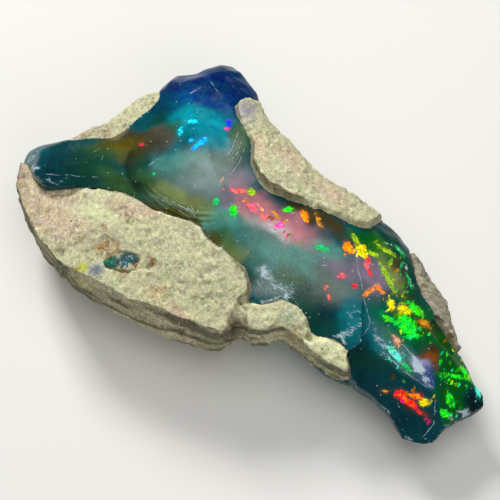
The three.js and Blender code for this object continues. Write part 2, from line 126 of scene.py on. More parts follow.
OPAL_ZONES = patches(
    # The blunt arm and its root.
    (-24.4, -5.2, 1.0, 1.8, 28, "teal"),
    (-22.0, -5.4, 2.6, 2.2, 28, "petrol"),
    (-19.2, -4.0, 2.0, 1.8, 28, "bottle"),
    (-18.6, -1.6, 1.6, 0.8, 28, "moss"),
    (-19.2, 0.6, 1.1, 0.4, 28, "tan"),
    (-17.8, -0.4, 1.6, 0.6, 28, "honey"),
    (-16.4, -0.2, 1.2, 0.9, 28, "honey"),
    (-14.2, 3.9, 0.7, 0.6, 28, "moss"),
    (-15.8, 1.2, 1.3, 1.0, 28, "rust"),
    (-14.2, 2.4, 1.0, 1.2, 28, "russet"),
    (-14.8, -0.9, 1.4, 0.8, -40, "bottle"),
    (-13.4, -2.2, 1.5, 0.7, -20, "moss"),
    (-15.8, -3.8, 2.2, 0.8, -4, "moss"),
    # The blue lobe.
    (-16.5, 6.6, 1.0, 1.4, 28, "ocean"),
    (-16.2, 8.4, 1.2, 1.2, 28, "navy"),
    (-13.2, 11.0, 3.0, 1.6, 28, "navy"),
    (-9.2, 10.6, 1.4, 2.0, 28, "navy"),
    (-12.4, 8.4, 2.2, 1.0, 28, "sapphire"),
    (-15.4, 4.6, 0.9, 0.8, 28, "bottle"),
    (-12.0, 5.8, 2.4, 1.4, 28, "lagoon"),
    (-9.8, 4.8, 1.2, 1.6, 28, "lagoon"),
    (-16.6, 9.7, 0.5, 0.20, 28, "rose"),
    (-10.6, 12.6, 0.25, 0.15, 28, "rust"),
    # The milky middle and the ledge under it.
    (-12.4, 1.8, 1.2, 1.0, 28, "teal"),
    (-11.0, 0.8, 1.8, 1.2, 28, "sea"),
    (-8.3, 0.8, 2.6, 2.0, 28, "fog"),
    (-5.2, 1.8, 1.0, 1.2, 28, "mauve"),
    (-5.0, -0.8, 1.2, 0.9, 28, "mauve"),
    (-7.1, 5.4, 0.8, 2.4, 12, "moss"),
    (-8.8, -2.5, 2.8, 0.8, 0, "olive"),
    (-9.6, -4.3, 2.6, 0.4, 2, "bronze"),
    (-6.2, -4.2, 1.4, 0.4, -14, "bronze"),
    (-4.2, -4.9, 1.6, 0.4, -30, "bronze"),
    (-3.2, -4.0, 1.4, 0.6, -25, "moss"),
    (-1.6, -5.2, 1.4, 0.7, -35, "olive"),
    (-0.2, -6.3, 1.0, 1.0, -35, "bottle"),
    (-4.8, -2.6, 1.6, 1.0, -10, "sea"),
    # The rosy band and the green slope below it.
    (-3.4, 0.5, 1.8, 0.9, -20, "rose"),
    (-1.6, -1.3, 1.7, 0.7, -20, "fog"),
    (-2.9, -0.9, 1.2, 0.5, -20, "rose"),
    (1.4, -0.6, 2.8, 1.2, -4, "rose"),
    (1.8, 1.9, 1.4, 0.5, -10, "rust"),
    (4.8, 2.1, 1.8, 0.7, -10, "rust"),
    (0.8, -3.2, 2.6, 1.1, -4, "sea"),
    (4.2, -3.0, 2.0, 1.0, -4, "sea"),
    (4.0, -4.5, 1.4, 0.6, -10, "moss"),
    (6.7, -3.1, 1.0, 0.6, 0, "dusk"),
    (5.6, -5.4, 1.6, 1.0, -30, "bottle"),
    (7.0, -7.0, 2.6, 1.4, -4, "bottle"),
    (7.3, -1.8, 1.0, 0.7, 0, "mauve"),
    (9.2, -0.9, 1.8, 1.0, 28, "mauve"),
    (9.0, -3.8, 1.8, 0.9, 28, "dusk"),
    (6.0, -0.9, 1.4, 0.7, 0, "sea"),
    # The right shoulder with its olive rim.
    (9.6, 2.6, 1.6, 0.7, 0, "leaf"),
    (11.4, -0.8, 1.2, 1.4, -19, "mauve"),
    (12.2, 0.8, 2.4, 0.6, -38, "olive"),
    (12.9, 1.7, 1.4, 0.5, -38, "rust"),
    (11.0, -4.7, 1.0, 2.2, 28, "turquoise", "crown"),
    (8.8, -6.2, 1.2, 1.2, 28, "petrol", "crown"),
    (12.0, 3.4, 1.8, 0.9, -24, "bottle"),
    (14.6, 0.8, 1.5, 0.8, -50, "bottle"),
    (13.0, -3.9, 1.0, 0.9, 28, "jade"),
    (15.0, -4.3, 1.4, 0.6, -14, "jade"),
    (14.8, -0.8, 1.5, 0.9, -30, "moss"),
    (16.9, -2.6, 1.8, 1.3, -4, "leaf"),
    (17.7, -2.1, 0.8, 0.5, 0, "rust"),
    # The flats of the tail.
    (19.4, -5.0, 0.8, 0.6, 10, "ember"),
    (19.3, -4.2, 0.9, 0.5, -20, "rust"),
    (19.8, -2.6, 1.4, 0.9, -50, "leaf"),
    (15.2, -5.8, 1.8, 0.7, -16, "turquoise", "strip"),
    (16.8, -6.3, 1.0, 0.6, -16, "jade", "strip"),
    (18.6, -5.9, 0.9, 0.3, -20, "lavender", "strip"),
    (20.1, -6.8, 1.0, 0.5, -22, "sapphire", "strip"),
    (13.0, -4.9, 0.4, 0.9, 28, "turquoise", "strip"),
    (12.2, -4.6, 0.6, 1.0, 28, "turquoise"),
    (14.4, -7.6, 1.6, 0.7, 10, "bottle", "front"),
    (16.2, -9.3, 3.0, 2.2, -19, "petrol", "front"),
    (20.4, -11.0, 2.6, 1.4, 28, "petrol", "front"),
    (19.9, -9.3, 1.3, 0.35, -12, "rust", "front"),
    (22.8, -7.0, 1.3, 2.7, 28, "leaf", "tail"),
    (22.4, -4.4, 1.4, 1.2, -24, "leaf"),
    (25.0, -6.1, 0.9, 0.9, -4, "ink"),
    (25.6, -6.2, 0.8, 0.8, -4, "ink"),
)

# Flashes of fire on the broad face.
OPAL_FLASHES = patches(
    (-12.0, 5.1, 0.45, 0.22, 28, "cyan"),
    (-12.6, 3.6, 0.22, 0.42, 28, "cyan"),
    (-10.0, 3.4, 0.55, 0.32, 60, "azure"),
    (-10.3, 2.6, 0.45, 0.26, 75, "azure"),
    (-11.1, 3.1, 0.22, 0.20, 28, "azure"),
    (-8.9, 6.9, 0.26, 0.46, 28, "violet"),
    (-8.8, 6.2, 0.20, 0.16, 28, "pink"),
    (-15.6, 1.0, 0.18, 0.16, 60, "ruby"),
    (-3.5, 1.5, 0.34, 0.38, 28, "lime"),
    (-4.6, 0.8, 0.70, 0.24, 35, "coral"),
    (-2.6, -0.1, 0.70, 0.22, -10, "coral"),
    (-1.2, -0.5, 0.50, 0.18, -30, "coral"),
    (-3.9, -1.5, 0.34, 0.60, 39, "green"),
    (-5.9, -1.4, 0.26, 0.36, 28, "emerald"),
    (-12.9, -1.4, 0.14, 0.10, 28, "emerald"),
    (0.7, -0.7, 0.44, 0.26, 28, "pink"),
    (-0.1, 0.3, 0.50, 0.14, -20, "amber"),
    (0.6, 1.5, 0.44, 0.30, 28, "green"),
    (2.4, 1.5, 0.60, 0.30, -40, "orange"),
    (3.8, 1.8, 0.70, 0.20, -40, "amber"),
    (5.5, -0.7, 0.60, 0.22, 12, "emerald"),
    (7.6, 0.7, 0.60, 0.42, -40, "orange"),
    (8.9, 1.1, 0.85, 0.44, -30, "yellow"),
    (9.8, 0.6, 0.36, 0.18, -30, "flame"),
    (7.8, 1.9, 0.60, 0.20, -30, "lime"),
    (10.0, 1.4, 0.50, 0.20, 7, "lime"),
    (8.4, -2.2, 0.34, 0.18, 30, "coral"),
    (9.9, -2.5, 0.22, 0.20, 28, "ruby"),
    (7.5, -3.9, 0.16, 0.12, 28, "coral"),
    (8.2, -4.5, 0.12, 0.22, 20, "coral"),
    (10.0, -0.1, 0.32, 0.16, -45, "coral"),
    (10.6, -0.5, 0.40, 0.13, -60, "ruby"),
    (11.4, -2.2, 0.58, 0.15, 70, "orange"),
    (12.1, -1.6, 0.46, 0.16, -14, "orange"),
    (12.3, -0.1, 1.30, 0.20, -36, "lime"),
    (10.9, 2.5, 0.80, 0.18, 0, "lime"),
    (12.0, 3.4, 0.60, 0.16, -24, "emerald"),
    (14.2, 1.0, 0.60, 0.12, -50, "emerald"),
    (13.8, -2.3, 0.50, 0.28, -44, "yellow"),
    (15.2, -2.1, 0.62, 0.34, 10, "yellow"),
    (16.2, -1.5, 0.80, 0.40, -14, "green"),
    (17.5, -2.2, 0.60, 0.26, 7, "amber"),
    (16.0, -3.3, 1.10, 0.70, -14, "green"),
    (14.2, -3.5, 0.60, 0.22, 7, "green"),
    (17.0, -3.9, 0.60, 0.24, 28, "green"),
    (15.9, -5.0, 0.46, 0.26, -30, "peach"),
    (22.4, -4.9, 1.30, 0.16, 28, "green"),
    (22.8, -3.9, 0.40, 0.26, -40, "green"),
    (22.9, -7.2, 0.60, 0.36, -40, "green", "tail"),
    (22.8, -8.7, 0.80, 0.32, 28, "green", "tail"),
    (24.8, -4.8, 0.60, 0.22, -44, "mint"),
    (18.4, -9.0, 0.55, 0.34, 10, "flame", "front"),
    (19.4, -9.2, 0.85, 0.24, 0, "flame", "front"),
    (19.8, -8.5, 0.60, 0.20, 10, "orange", "front"),
    (20.8, -8.6, 0.40, 0.32, 28, "yellow", "front"),
    (20.5, -9.5, 0.60, 0.10, -5, "ruby", "front"),
    (17.0, -8.0, 0.20, 0.22, 28, "rust", "front"),
    (16.9, -9.4, 0.20, 0.10, 28, "amber", "front"),
    (16.3, -6.2, 0.90, 0.26, -16, "mint", "strip"),
    (17.8, -6.7, 0.50, 0.16, -16, "emerald", "strip"),
)

# Fields of small sparks: coloured flakes well under a millimetre across.
SPARK_FIELDS = patches(
    (-1.6, -0.1, 3.4, 0.9, -12, 0.75),
    (8.6, 1.2, 1.8, 0.8, -20, 0.50),
    (12.2, 1.4, 2.8, 0.9, -38, 0.60),
    (15.6, -2.4, 2.6, 1.4, -30, 0.70),
    (22.8, -5.2, 2.0, 3.6, 28, 0.50),
    (19.8, -9.0, 1.8, 0.6, -16, 0.50, "front"),
    (16.6, -6.3, 1.6, 0.5, -16, 0.95, "strip"),
)

# Bruised and crushed places, where the break scatters white, and rims painted white as painted
# highlight: streaked below a strength of 1.6, solid at it.
FROST_PATCHES = patches(
    # Beside the host rock's neck.
    (1.4, -5.3, 0.8, 0.45, -20, 1.45),
    (2.6, -5.7, 1.2, 0.40, -20, 0.90),
    (4.2, -5.7, 1.2, 0.60, -10, 0.70),
    (3.3, -7.3, 1.2, 0.25, 42, 0.95),
    (4.3, -6.2, 0.5, 0.16, -10, 1.50),
    # The foot and right edge of the turquoise break.
    (11.0, -7.4, 1.1, 0.40, 24, 0.95, "crown"),
    (12.2, -5.9, 1.2, 0.30, 70, 0.85, "crown"),
    (11.4, -5.4, 0.9, 1.5, 28, 0.52, "crown"),
    # The rosy middle.
    (0.8, -1.4, 1.2, 0.7, -20, 0.72),
    # The strip.
    (14.4, -5.8, 1.4, 0.40, -22, 0.85, "strip"),
    (16.6, -6.4, 1.6, 0.50, -18, 0.66, "strip"),
    (18.8, -6.1, 1.0, 0.24, -24, 1.60, "strip"),
    (20.1, -6.9, 0.9, 0.50, -22, 0.88, "strip"),
    # The rims: bruised, and painted white as painted highlight.
    (10.8, 3.4, 0.5, 0.22, 28, 0.95),
    (13.4, 2.1, 0.4, 0.25, -38, 1.25),
    (14.5, 1.1, 0.5, 0.18, -50, 1.10),
    (24.5, -7.4, 0.8, 0.35, 25, 1.25),
    (23.9, -8.6, 0.5, 0.15, 40, 0.95),
    (-23.4, -6.6, 1.0, 0.35, 20, 0.95),
    (-24.9, -5.4, 0.25, 1.3, -28, 0.85),
    (-21.6, -7.0, 1.8, 0.30, 22, 0.60),
    (15.3, -10.2, 1.0, 0.16, -20, 0.80, "front"),
    (18.3, -11.0, 1.6, 0.18, -24, 0.85, "front"),
    (21.4, -11.9, 1.6, 0.20, -2, 0.85, "front"),
)

# Where the silica fibres show as a pale haze.
HAZE_PATCHES = patches(
    (0.8, -1.3, 1.6, 0.8, -10, 0.65),
    (-7.4, 1.6, 3.0, 2.6, 28, 0.14),
    (3.4, -3.4, 4.0, 2.2, -10, 0.20),
    (8.6, -2.4, 2.2, 2.0, -10, 0.12),
    (-7.2, 4.4, 0.8, 2.6, 12, 0.30),
    (17.5, -6.2, 4.0, 0.8, -18, 0.15, "strip"),
    (1.5, -5.3, 0.9, 0.7, -20, 0.55),
    (2.9, -6.2, 1.6, 0.9, 20, 0.40),
)

# Hair scratches, and painted highlights along break edges, on the broad face, as points in mm.
HAIRLINES = (
    ((-13.3, 11.0), (-12.5, 10.4), (-11.7, 9.9)),
    ((-14.2, 8.2), (-13.6, 9.8)),
    ((-14.4, -1.9), (-13.8, -0.8), (-13.1, 0.5)),
    ((-19.5, -2.1), (-19.2, -1.2)),
    ((-18.1, -2.8), (-18.4, -1.8)),
    ((-22.4, -6.9), (-20.7, -6.2), (-19.5, -5.4), (-17.0, -4.1)),
    ((-7.7, 6.8), (-7.4, 5.1), (-7.3, 3.6)),
    ((-6.4, 5.8), (-6.1, 4.0), (-6.1, 2.6), (-6.2, 1.2)),
    ((-6.7, 1.8), (-6.6, 1.0), (-6.2, -0.1)),
    ((-7.0, 6.0), (-6.7, 4.6), (-6.8, 3.4)),
    ((8.2, 1.2), (9.0, -0.2), (10.3, -1.9), (11.2, -2.9)),
    ((2.5, -8.2), (3.2, -7.5), (3.8, -6.9), (4.0, -6.4), (4.5, -6.6), (5.2, -6.8)),
    ((1.2, -6.2), (1.8, -6.6)),
    ((5.4, -2.3), (6.1, -2.3), (6.8, -2.0)),
    ((10.7, -2.5), (11.9, -3.7), (12.7, -4.6), (12.9, -5.2), (12.8, -5.9), (12.4, -6.9)),
    ((-12.6, -3.2), (-10.9, -3.4), (-8.8, -3.5), (-7.2, -3.8)),
    ((-11.2, -3.0), (-9.4, -3.0), (-7.6, -3.2), (-6.4, -3.7)),
    ((-9.0, -2.6), (-7.9, -2.8), (-7.0, -3.2)),
    ((14.4, -4.6), (16.4, -5.0), (18.3, -5.7), (20.1, -6.2), (21.2, -7.1)),
    ((15.0, -6.5), (18.5, -7.2), (21.3, -7.4)),
    ((21.3, -7.3), (22.5, -9.8), (22.0, -11.6)),
)

# The fan of ripples where the break runs out under the ledge: its centre, the ring it fills and
# how softly it starts, its arc and the arc's soft ends in degrees, the pitch and height of the
# ripples, and how much paler their crests are painted, as painted highlight.
RIPPLE_CENTRE = (-9.4, 6.2)
RIPPLE_RING = (8.9, 11.3)
RIPPLE_SOFT = 0.7
RIPPLE_ARC = (-115, -62)
RIPPLE_ENDS = 12
RIPPLE_PITCH = 0.52
RIPPLE_HEIGHT = 0.075
RIPPLE_HIGHLIGHT = 0.45
# The shell-shaped dish broken in beside the arm: its centre, radius and depth, its arc and the
# arc's soft ends, where its rim and its slope lie as shares of the radius, and how much darker it
# is painted, as painted shade.
DISH_CENTRE = (-12.6, -0.1)
DISH_RADIUS = 3.75
DISH_DEPTH = 0.32
DISH_ARC = (150, 285)
DISH_ENDS = 40
DISH_RIM = (0.96, 1.04)
DISH_SLOPE = (0.45, 1.0)
DISH_SHADE = 0.6
# Shares of its length by which a hairline has come up, and after which it runs out.
HAIR_START = (0.0, 0.15)
HAIR_END = (0.8, 1.0)
# What the skin holds, in mm, where it is far from every hairline and from every flash.
NO_HAIR = 9.0
NO_FLASH = -99.0
# How many lengths farther a flash is from a place off its flat.
OFF_FLAT = 3
# The strands of a flash: their stretch along it, and their drift with height.
STRAND_ALONG = 0.4
STRAND_UP = 0.3

# Tints of the host rock as sRGB: its flushes, clays and stains, its pits, the painted shadow in
# the gap at the neck, and a drab tint that is greyer and stands for painted shade.
ROCK_TINTS = {
    "flush": "#b89a84", "clay": "#957468", "lavender": "#8f8a9c", "iron": "#94642c",
    "ochre": "#b39a5c", "slate": "#56627c", "sulphur": "#ccd24e", "pit": "#2a1a22",
    "umber": "#6c5648", "gap": "#0c211c", "mint": "#93b39a", "lemon": "#d6dcaa",
    "drab": "#8a7f68",
}
# The tints that stain the rock through, and the painted shadow in the gap, so that none of its
# mottling shows.
STAINS_AND_PAINTED_SHADOW = {"iron", "slate", "sulphur", "pit", "umber", "gap", "lavender"}
ROCK_PATCHES = patches(
    # The flushed left end and upper edge.
    (-18.4, -10.2, 2.4, 1.6, 20, "flush"),
    (-21.6, -8.6, 2.6, 1.4, 28, "flush"),
    (-24.8, -7.4, 1.2, 1.8, 28, "clay"),
    (-12.6, -5.8, 2.2, 0.6, 10, "flush"),
    (-16.4, -8.0, 1.6, 0.9, 28, "lemon"),
    (-6.9, -12.1, 0.7, 0.7, 28, "ochre"),
    (-3.6, -13.0, 1.6, 0.4, -20, "flush"),
    # Round the speck.
    (-13.5, -10.2, 0.50, 0.20, 20, "iron"),
    (-12.7, -9.7, 0.36, 0.16, -20, "iron"),
    (-13.9, -10.7, 0.20, 0.16, 0, "iron"),
    (-10.4, -11.6, 0.60, 0.22, 30, "iron"),
    (-9.6, -11.0, 0.30, 0.20, 60, "iron"),
    (-8.5, -9.8, 0.36, 0.22, 28, "iron"),
    (-13.0, -10.5, 0.18, 0.16, 28, "pit"),
    (-9.2, -10.1, 0.20, 0.14, 70, "pit"),
    (-12.9, -12.6, 0.70, 0.46, 28, "slate"),
    (-14.3, -13.2, 0.60, 0.46, 28, "sulphur"),
    # Pits, and the hollow of the small lump.
    (-12.6, -10.2, 0.12, 0.10, 28, "pit"),
    (-15.9, -10.9, 0.10, 0.08, 28, "pit"),
    (-17.5, -9.0, 0.10, 0.08, 28, "pit"),
    (-9.0, -12.6, 0.10, 0.08, 28, "pit"),
    (-16.7, -12.9, 0.22, 0.16, 28, "pit"),
    (-11.3, -5.1, 0.30, 0.12, 10, "pit"),
    (-10.5, -5.2, 0.14, 0.10, 10, "pit"),
    (1.5, -11.3, 0.80, 0.60, 28, "umber"),
    (1.2, -11.7, 0.22, 0.20, 28, "pit"),
    (2.1, -11.4, 0.16, 0.30, 28, "iron"),
    (1.8, -10.8, 0.30, 0.12, 28, "pit"),
    (1.3, -9.1, 0.50, 0.16, -10, "pit"),
    # The neck and the pod at its end.
    (4.6, -9.6, 1.4, 0.9, 20, "lemon"),
    (10.4, -9.8, 2.8, 2.0, -20, "lemon"),
    (6.9, -9.2, 0.5, 0.9, 30, "ochre"),
    (6.0, -7.9, 0.5, 0.9, 20, "mint"),
    # A dark tint in the gap at the neck: painted shadow.
    (8.3, -8.6, 0.5, 0.25, 40, "gap"),
    (6.9, -10.6, 1.4, 0.2, 15, "umber"),
    # The patches at the back.
    (-8.1, 9.2, 0.9, 0.8, 28, "lavender"),
    # The drab patch on the back left is painted shade.
    (-21.2, 0.4, 2.0, 0.9, 40, "drab"),
    (-4.8, 6.2, 1.6, 0.4, -60, "flush"),
    (-1.6, 6.4, 1.6, 0.8, -30, "flush"),
    (3.6, 5.2, 1.6, 0.8, -30, "flush"),
)
# Middle of the speck of opal, round which the rock is nibbled most: out to where, and by how
# much more.
SPECK = (-11.2, -10.95)
SPECK_NEAR = (2.0, 3.5)
SPECK_NIBBLE = 1.4
# The speck's skin: its pitch, and how far it is swollen and raised, in mm.
SPECK_SKIN = 0.11
SPECK_SWOLLEN = 0.08
SPECK_RAISED = 0.24
# The two lobes of the speck that no rock covers, its colours, and the hues of its sparks.
SPECK_LOBES = patches((-11.9, -11.5, 1.1, 0.70, 35), (-10.8, -10.4, 1.1, 0.85, 45))
SPECK_ZONES = patches(
    (-12.0, -11.5, 0.8, 0.5, 28, "jade"),
    (-11.6, -11.2, 0.4, 0.2, 28, "turquoise"),
    (-10.7, -10.6, 0.9, 0.7, 28, "petrol"),
    (-10.3, -11.2, 0.4, 0.3, 28, "navy"),
)
SPECK_GLINTS = patches(
    (-12.0, -11.4, 0.04, 0.03, 28, "jade"),
    (-10.6, -10.4, 0.04, 0.03, 28, "teal"),
)
# Hollows of the host rock: middle x and y, radius and depth in mm; and where their walls lie
# as shares of the radius.
ROCK_HOLLOWS = ((1.9, -11.1, 0.9, 0.40), (1.0, -8.9, 0.5, 0.25), (8.3, -8.7, 0.55, 0.5))
HOLLOW_WALL = (0.4, 1.1)

# Ragged edges: grain and distance in mm, and seed, of the noises that move what is painted.
ZONE_EDGE = ((1.8, 0.5, 11), (0.6, 0.16, 15))
SPOT_EDGE = ((1.1, 0.35, 41), (0.4, 0.14, 45))
HAIR_EDGE = ((0.8, 0.05, 51),)
SPECK_EDGE = ((0.9, 0.24, 71), (0.35, 0.10, 75))
# Noises of the surface and its colours: strength, grain in mm, seed and octaves of each.
OPAL_SWELL = ((0.05, 4.2, 1, 2), (0.012, 0.9, 2, 2))
OPAL_MOTTLE = ((0.10, 1.1, 7, 3),)
RIPPLE_WOBBLE = ((0.12, 2.2, 61, 2),)
DISH_WOBBLE = ((0.10, 1.6, 63, 2),)
SPECK_ROUGH = ((0.16, 0.9, 6, 2), (0.06, 0.3, 9, 1))
SPECK_BARE_EDGE = ((0.5, 0.45, 73, 3),)
SPECK_STAIN = ((1.0, 0.6, 77, 3),)
SPECK_BLOOM = ((1.0, 0.5, 8, 2),)
ROCK_ROUGH = ((1.2, 2.4, 21, 2), (0.8, 0.42, 22, 1))
ROCK_LAYERS = ((1.0, 0.7, 23, 3),)
ROCK_PITS = ((1.0, 0.9, 24, 2),)
ROCK_NIBBLE = ((0.16, 1.3, 25, 2), (0.10, 0.45, 26, 2))
GRIT_DRIFTS = ((1.0, 2.0, 27, 2),)
# The lattice of the noise: what parts one seed and one octave from the next, the primes that
# hash its corners, what stirs the hash, and what spreads it to between about -1 and 1.
SEED_STEP = 31.7
OCTAVE_STEP = 7.3
HASH_PRIMES = (73856093, 19349663, 83492791)
HASH_STIR = (1274126177, 2246822519)
NOISE_SPREAD = 1.6

# Fairing of a skin: its rounds, and the change of normal that counts as a break; and the
# rounds in which the normals of each are smoothed.
OPAL_FAIRING = (6, 0.26)
ROCK_FAIRING = (3, 0.35)
NORMAL_ROUNDS = 3
# Corners of the CAD nearer than the weld, in mm, are one; the other two keep divisions from
# zero.
WELD = 1e-4
LEAST_LENGTH = 1e-12
LEAST_GAP = 1e-6
# How steeply a zone of colour fades from its middle, and how strongly the ground colour holds
# against the zones.
ZONE_FALL = 1.2
OPAL_HOLD = 0.1
SPECK_HOLD = 0.05
ROCK_HOLD = 0.14
# Ramps of the opal, where each starts and where it is full: how far up the skin faces, and how
# far an edge stands out in mm. With them, the rounds that smooth the edges, how white an edge is
# painted as bruising and as painted highlight, the softness of the fields of sparks and of haze,
# and the sparks on the sides.
OPAL_UP = (-0.05, 0.3)
EDGE_OUT = (0.004, 0.022)
EDGE_ROUNDS = 2
EDGE_FROST_HIGHLIGHT = 0.7
SPARK_SOFT = 0.9
SIDE_SPARKS = 0.1
HAZE_SOFT = 0.8
# Ramps of the speck: the crust of rock round its lobes, the stain on it and the bloom on the
# opal. With them, how strong the last two get, and its sparks and haze.
CRUST_EDGE = (0.88, 1.02)
STAIN_EDGE = (-0.1, 0.25)
BLOOM_EDGE = (-0.6, 0.4)
SPECK_STAINED = 0.8
SPECK_FROST = 0.42
SPECK_SPARKS = 0.9
SPECK_HAZE = 0.1
# Ramps of the host rock: how level it faces, its pits, the gap in partings within which it
# grows onto the opal, how far it must face the opal, its layers, and the drifts of its grit.
ROCK_LEVEL = (0.25, 0.75)
PIT_EDGE = (0.5, 0.8)
GROWS_WITHIN = (1.3, 2.6)
FACES_OPAL = (0.1, 0.6)
LAYER_EDGE = (0.05, 0.5)
GRIT_EDGE = (-0.2, 0.4)
# How deep its layers and pits are, in reliefs; how it is drawn out along its layers; how far it
# overlaps the opal, in mm; how drab its sides are, and how dark in painted shade; how much darker
# its proud layers and paler its sunk ones are; and how soon the grit stops where it grows onto the
# opal.
LAYER_DEPTH = 2.4
PIT_DEPTH = 1.6
LAYER_STRETCH = (0.2, 0.2, 1.0)
OVERLAP = 0.14
SIDE_DRAB_SHADE = 0.6
SIDE_SHADE = 0.22
PROUD_SHADE = 0.45
SUNK_SHADE = 0.30
GRIT_STOPS = 2
# A loose grain: its least and greatest squash, its spin in radians, and how closely they lie.
GRAIN_LEAST = (0.35, 0.35, 0.3)
GRAIN_MOST = (1.25, 1.0, 0.8)
GRAIN_SPIN = (6.28, 6.28, 6.28)
GRAIN_DENSITY = 1e7

# The stage: the side of its floor in m, its sky, and its lamps: place and side in m, power in
# W, and whether they show in reflections.
FLOOR_SIDE = 1.6
SKY_COLOUR = "#eef2f6"
SKY_STRENGTH = 0.2
LAMPS = (
    ("key", (-0.22, 0.16, 0.24), 0.10, 1.25, False),
    ("fill", (0.20, -0.16, 0.20), 0.24, 0.28, False),
    ("top", (0.02, 0.02, 0.34), 0.24, 0.50, False),
    ("glint", (-0.08, 0.30, 0.15), 0.04, 0.012, True),
)
# The camera: what it looks at in mm, its turn and height in degrees, how far off it stands and
# how wide it sees there in m, its nearest view in m and its sensor in mm.
CAMERA_AIM = (-1.589, -2.376, 6.5)
CAMERA_TURN = 28
CAMERA_HEIGHT = 68
CAMERA_DISTANCE = 0.18
CAMERA_WIDTH = 0.05
CAMERA_NEAR = 0.01
SENSOR = 36


class StoneSizes(bpy.types.PropertyGroup):
    """Sizes of the stone's surface and of the small things on it."""

    skin: bpy.props.FloatProperty(
        name="Opal skin", description="Pitch of the opal's finished surface",
        default=0.19 * MM, min=0.1 * MM, unit="LENGTH")
    rock_skin: bpy.props.FloatProperty(
        name="Rock skin", description="Pitch of the host rock's finished surface",
        default=0.13 * MM, min=0.1 * MM, unit="LENGTH")
    parting: bpy.props.FloatProperty(
        name="Parting", description="Gap to the opal that the host rock grows across",
        default=0.3 * MM, unit="LENGTH")
    rock_relief: bpy.props.FloatProperty(
        name="Rock relief", description="Height of the roughness on the host rock",
        default=0.065 * MM, unit="LENGTH")
    grit: bpy.props.FloatProperty(
        name="Grit", description="Size of the grains that stand out of the rock",
        default=0.085 * MM, unit="LENGTH")
    grit_spacing: bpy.props.FloatProperty(
        name="Grit spacing", description="Least distance between two grains",
        default=0.48 * MM, unit="LENGTH")


class StoneColours(bpy.types.PropertyGroup):
    """Colours of the opal, the host rock and the floor, as sRGB."""

    opal: bpy.props.StringProperty(
        name="Opal", description="Body colour where no zone is stronger", default="#0e4a50")
    # The frost colour is also the painted highlight on rims and break edges.
    frost: bpy.props.StringProperty(
        name="Frost", description="Bruised edges and frosted breaks", default="#bccfda")
    rock: bpy.props.StringProperty(
        name="Rock", description="Host rock", default="#a8ab84")
    rock_pale: bpy.props.StringProperty(
        name="Rock, pale grains", description="Cream clay between the grains",
        default="#e4e2b6")
    rock_flush: bpy.props.StringProperty(
        name="Rock, flush", description="Lavender-pink mottling of the host rock",
        default="#ab949a")
    rock_green: bpy.props.StringProperty(
        name="Rock, green", description="Grey-green mottling of the host rock",
        default="#97a284")
    rock_dark: bpy.props.StringProperty(
        name="Rock, dark", description="Dark grains, pits and cracks in the host rock",
        default="#3c3032")
    rind: bpy.props.StringProperty(
        name="Rind", description="Flaky rind on the right", default="#7d7969")
    floor: bpy.props.StringProperty(
        name="Floor", description="Plain floor", default="#d9d7d2")


# ---- small tools --------------------------------------------------------------------------
def linear(hex_colour):
    """An sRGB hex colour as linear red, green and blue, with an alpha of 1."""
    parts = [int(hex_colour[i:i + 2], 16) / 255 for i in (1, 3, 5)]
    return [p / 12.92 if p <= 0.04045 else ((p + 0.055) / 1.055) ** 2.4 for p in parts] + [1.0]


def add(tree, kind, settings=None, out=0, **links):
    """Adds one node, sets its properties and inputs and links what is a socket; gives its first
    output or the one asked for, and the node itself for None."""
    family = next(f for f in ("ShaderNode", "GeometryNode", "FunctionNode", "Node")
                  if hasattr(bpy.types, f + kind))
    node = tree.nodes.new(family + kind)
    for key, value in (settings or {}).items():
        setattr(node, key, value)
    for key, value in links.items():
        numbered = key[0] == "i" and key[1:].isdigit()
        socket = node.inputs[int(key[1:]) if numbered else key.replace("_", " ")]
        if isinstance(value, bpy.types.NodeSocket):
            tree.links.new(value, socket)
        else:
            socket.default_value = value
    return node if out is None else node.outputs[out]


def pitch(size):
    """The texture scale whose lumps or cells are the given size in mm."""
    return 1 / (size * MM)


def noise(points, grain, seed, octaves):
    """Smooth repeatable noise between about -1 and 1; grain is the coarsest lump, in mm."""
    total, weight, share = np.zeros(len(points)), 0.0, 1.0
    for octave in range(octaves):
        q = points / (grain / 2 ** octave) + SEED_STEP * (seed + 1) + OCTAVE_STEP * octave
        cell = np.floor(q).astype(np.int64)
        f = q - cell
        f = f * f * f * (f * (f * 6 - 15) + 10)
        layer = np.zeros(len(points))
        for corner in np.ndindex(2, 2, 2):
            k = (cell + corner) @ np.array(HASH_PRIMES)
            k = (k ^ (k >> 13)) * HASH_STIR[0] & 0xFFFFFFFF
            k = (k ^ (k >> 16)) * HASH_STIR[1] & 0xFFFFFFFF
            value = (k >> 8) / 2 ** 23 - 1.0
            layer += value * np.prod(np.where(corner, f, 1 - f), axis=1)
        total += share * layer
        weight += share
        share /= 2
    return NOISE_SPREAD * total / weight


def waves(points, rows):
    """The sum of smooth noises, given as rows of strength, grain, seed and octaves."""
    return sum(strength * noise(points, *rest) for strength, *rest in rows)


def ramp(low, high, value):
    """0 as far as low, 1 from high on, smooth between."""
    t = np.clip((value - low) / (high - low), 0, 1)
    return t * t * (3 - 2 * t)


def in_patch(points, patch):
    """Places along and across a patch, in mm from its middle."""
    c, s = math.cos(math.radians(patch.turn)), math.sin(math.radians(patch.turn))
    dx, dy = points[:, 0] - patch.x, points[:, 1] - patch.y
    return dx * c + dy * s, dy * c - dx * s


def reach(points, patch):
    """Distance from a patch's middle, 1 at its edge."""
    along, across = in_patch(points, patch)
    return np.hypot(along / patch.length, across / patch.width)


def wandered(points, moves):
    """The points moved by smooth noises in turn, so that what is painted there gets ragged
    edges; each move has its grain, distance and seed."""
    for grain, far, seed in moves:
        drift = np.stack([noise(points, grain, seed + k, 2) for k in range(3)], axis=1)
        points = points + far * drift
    return points


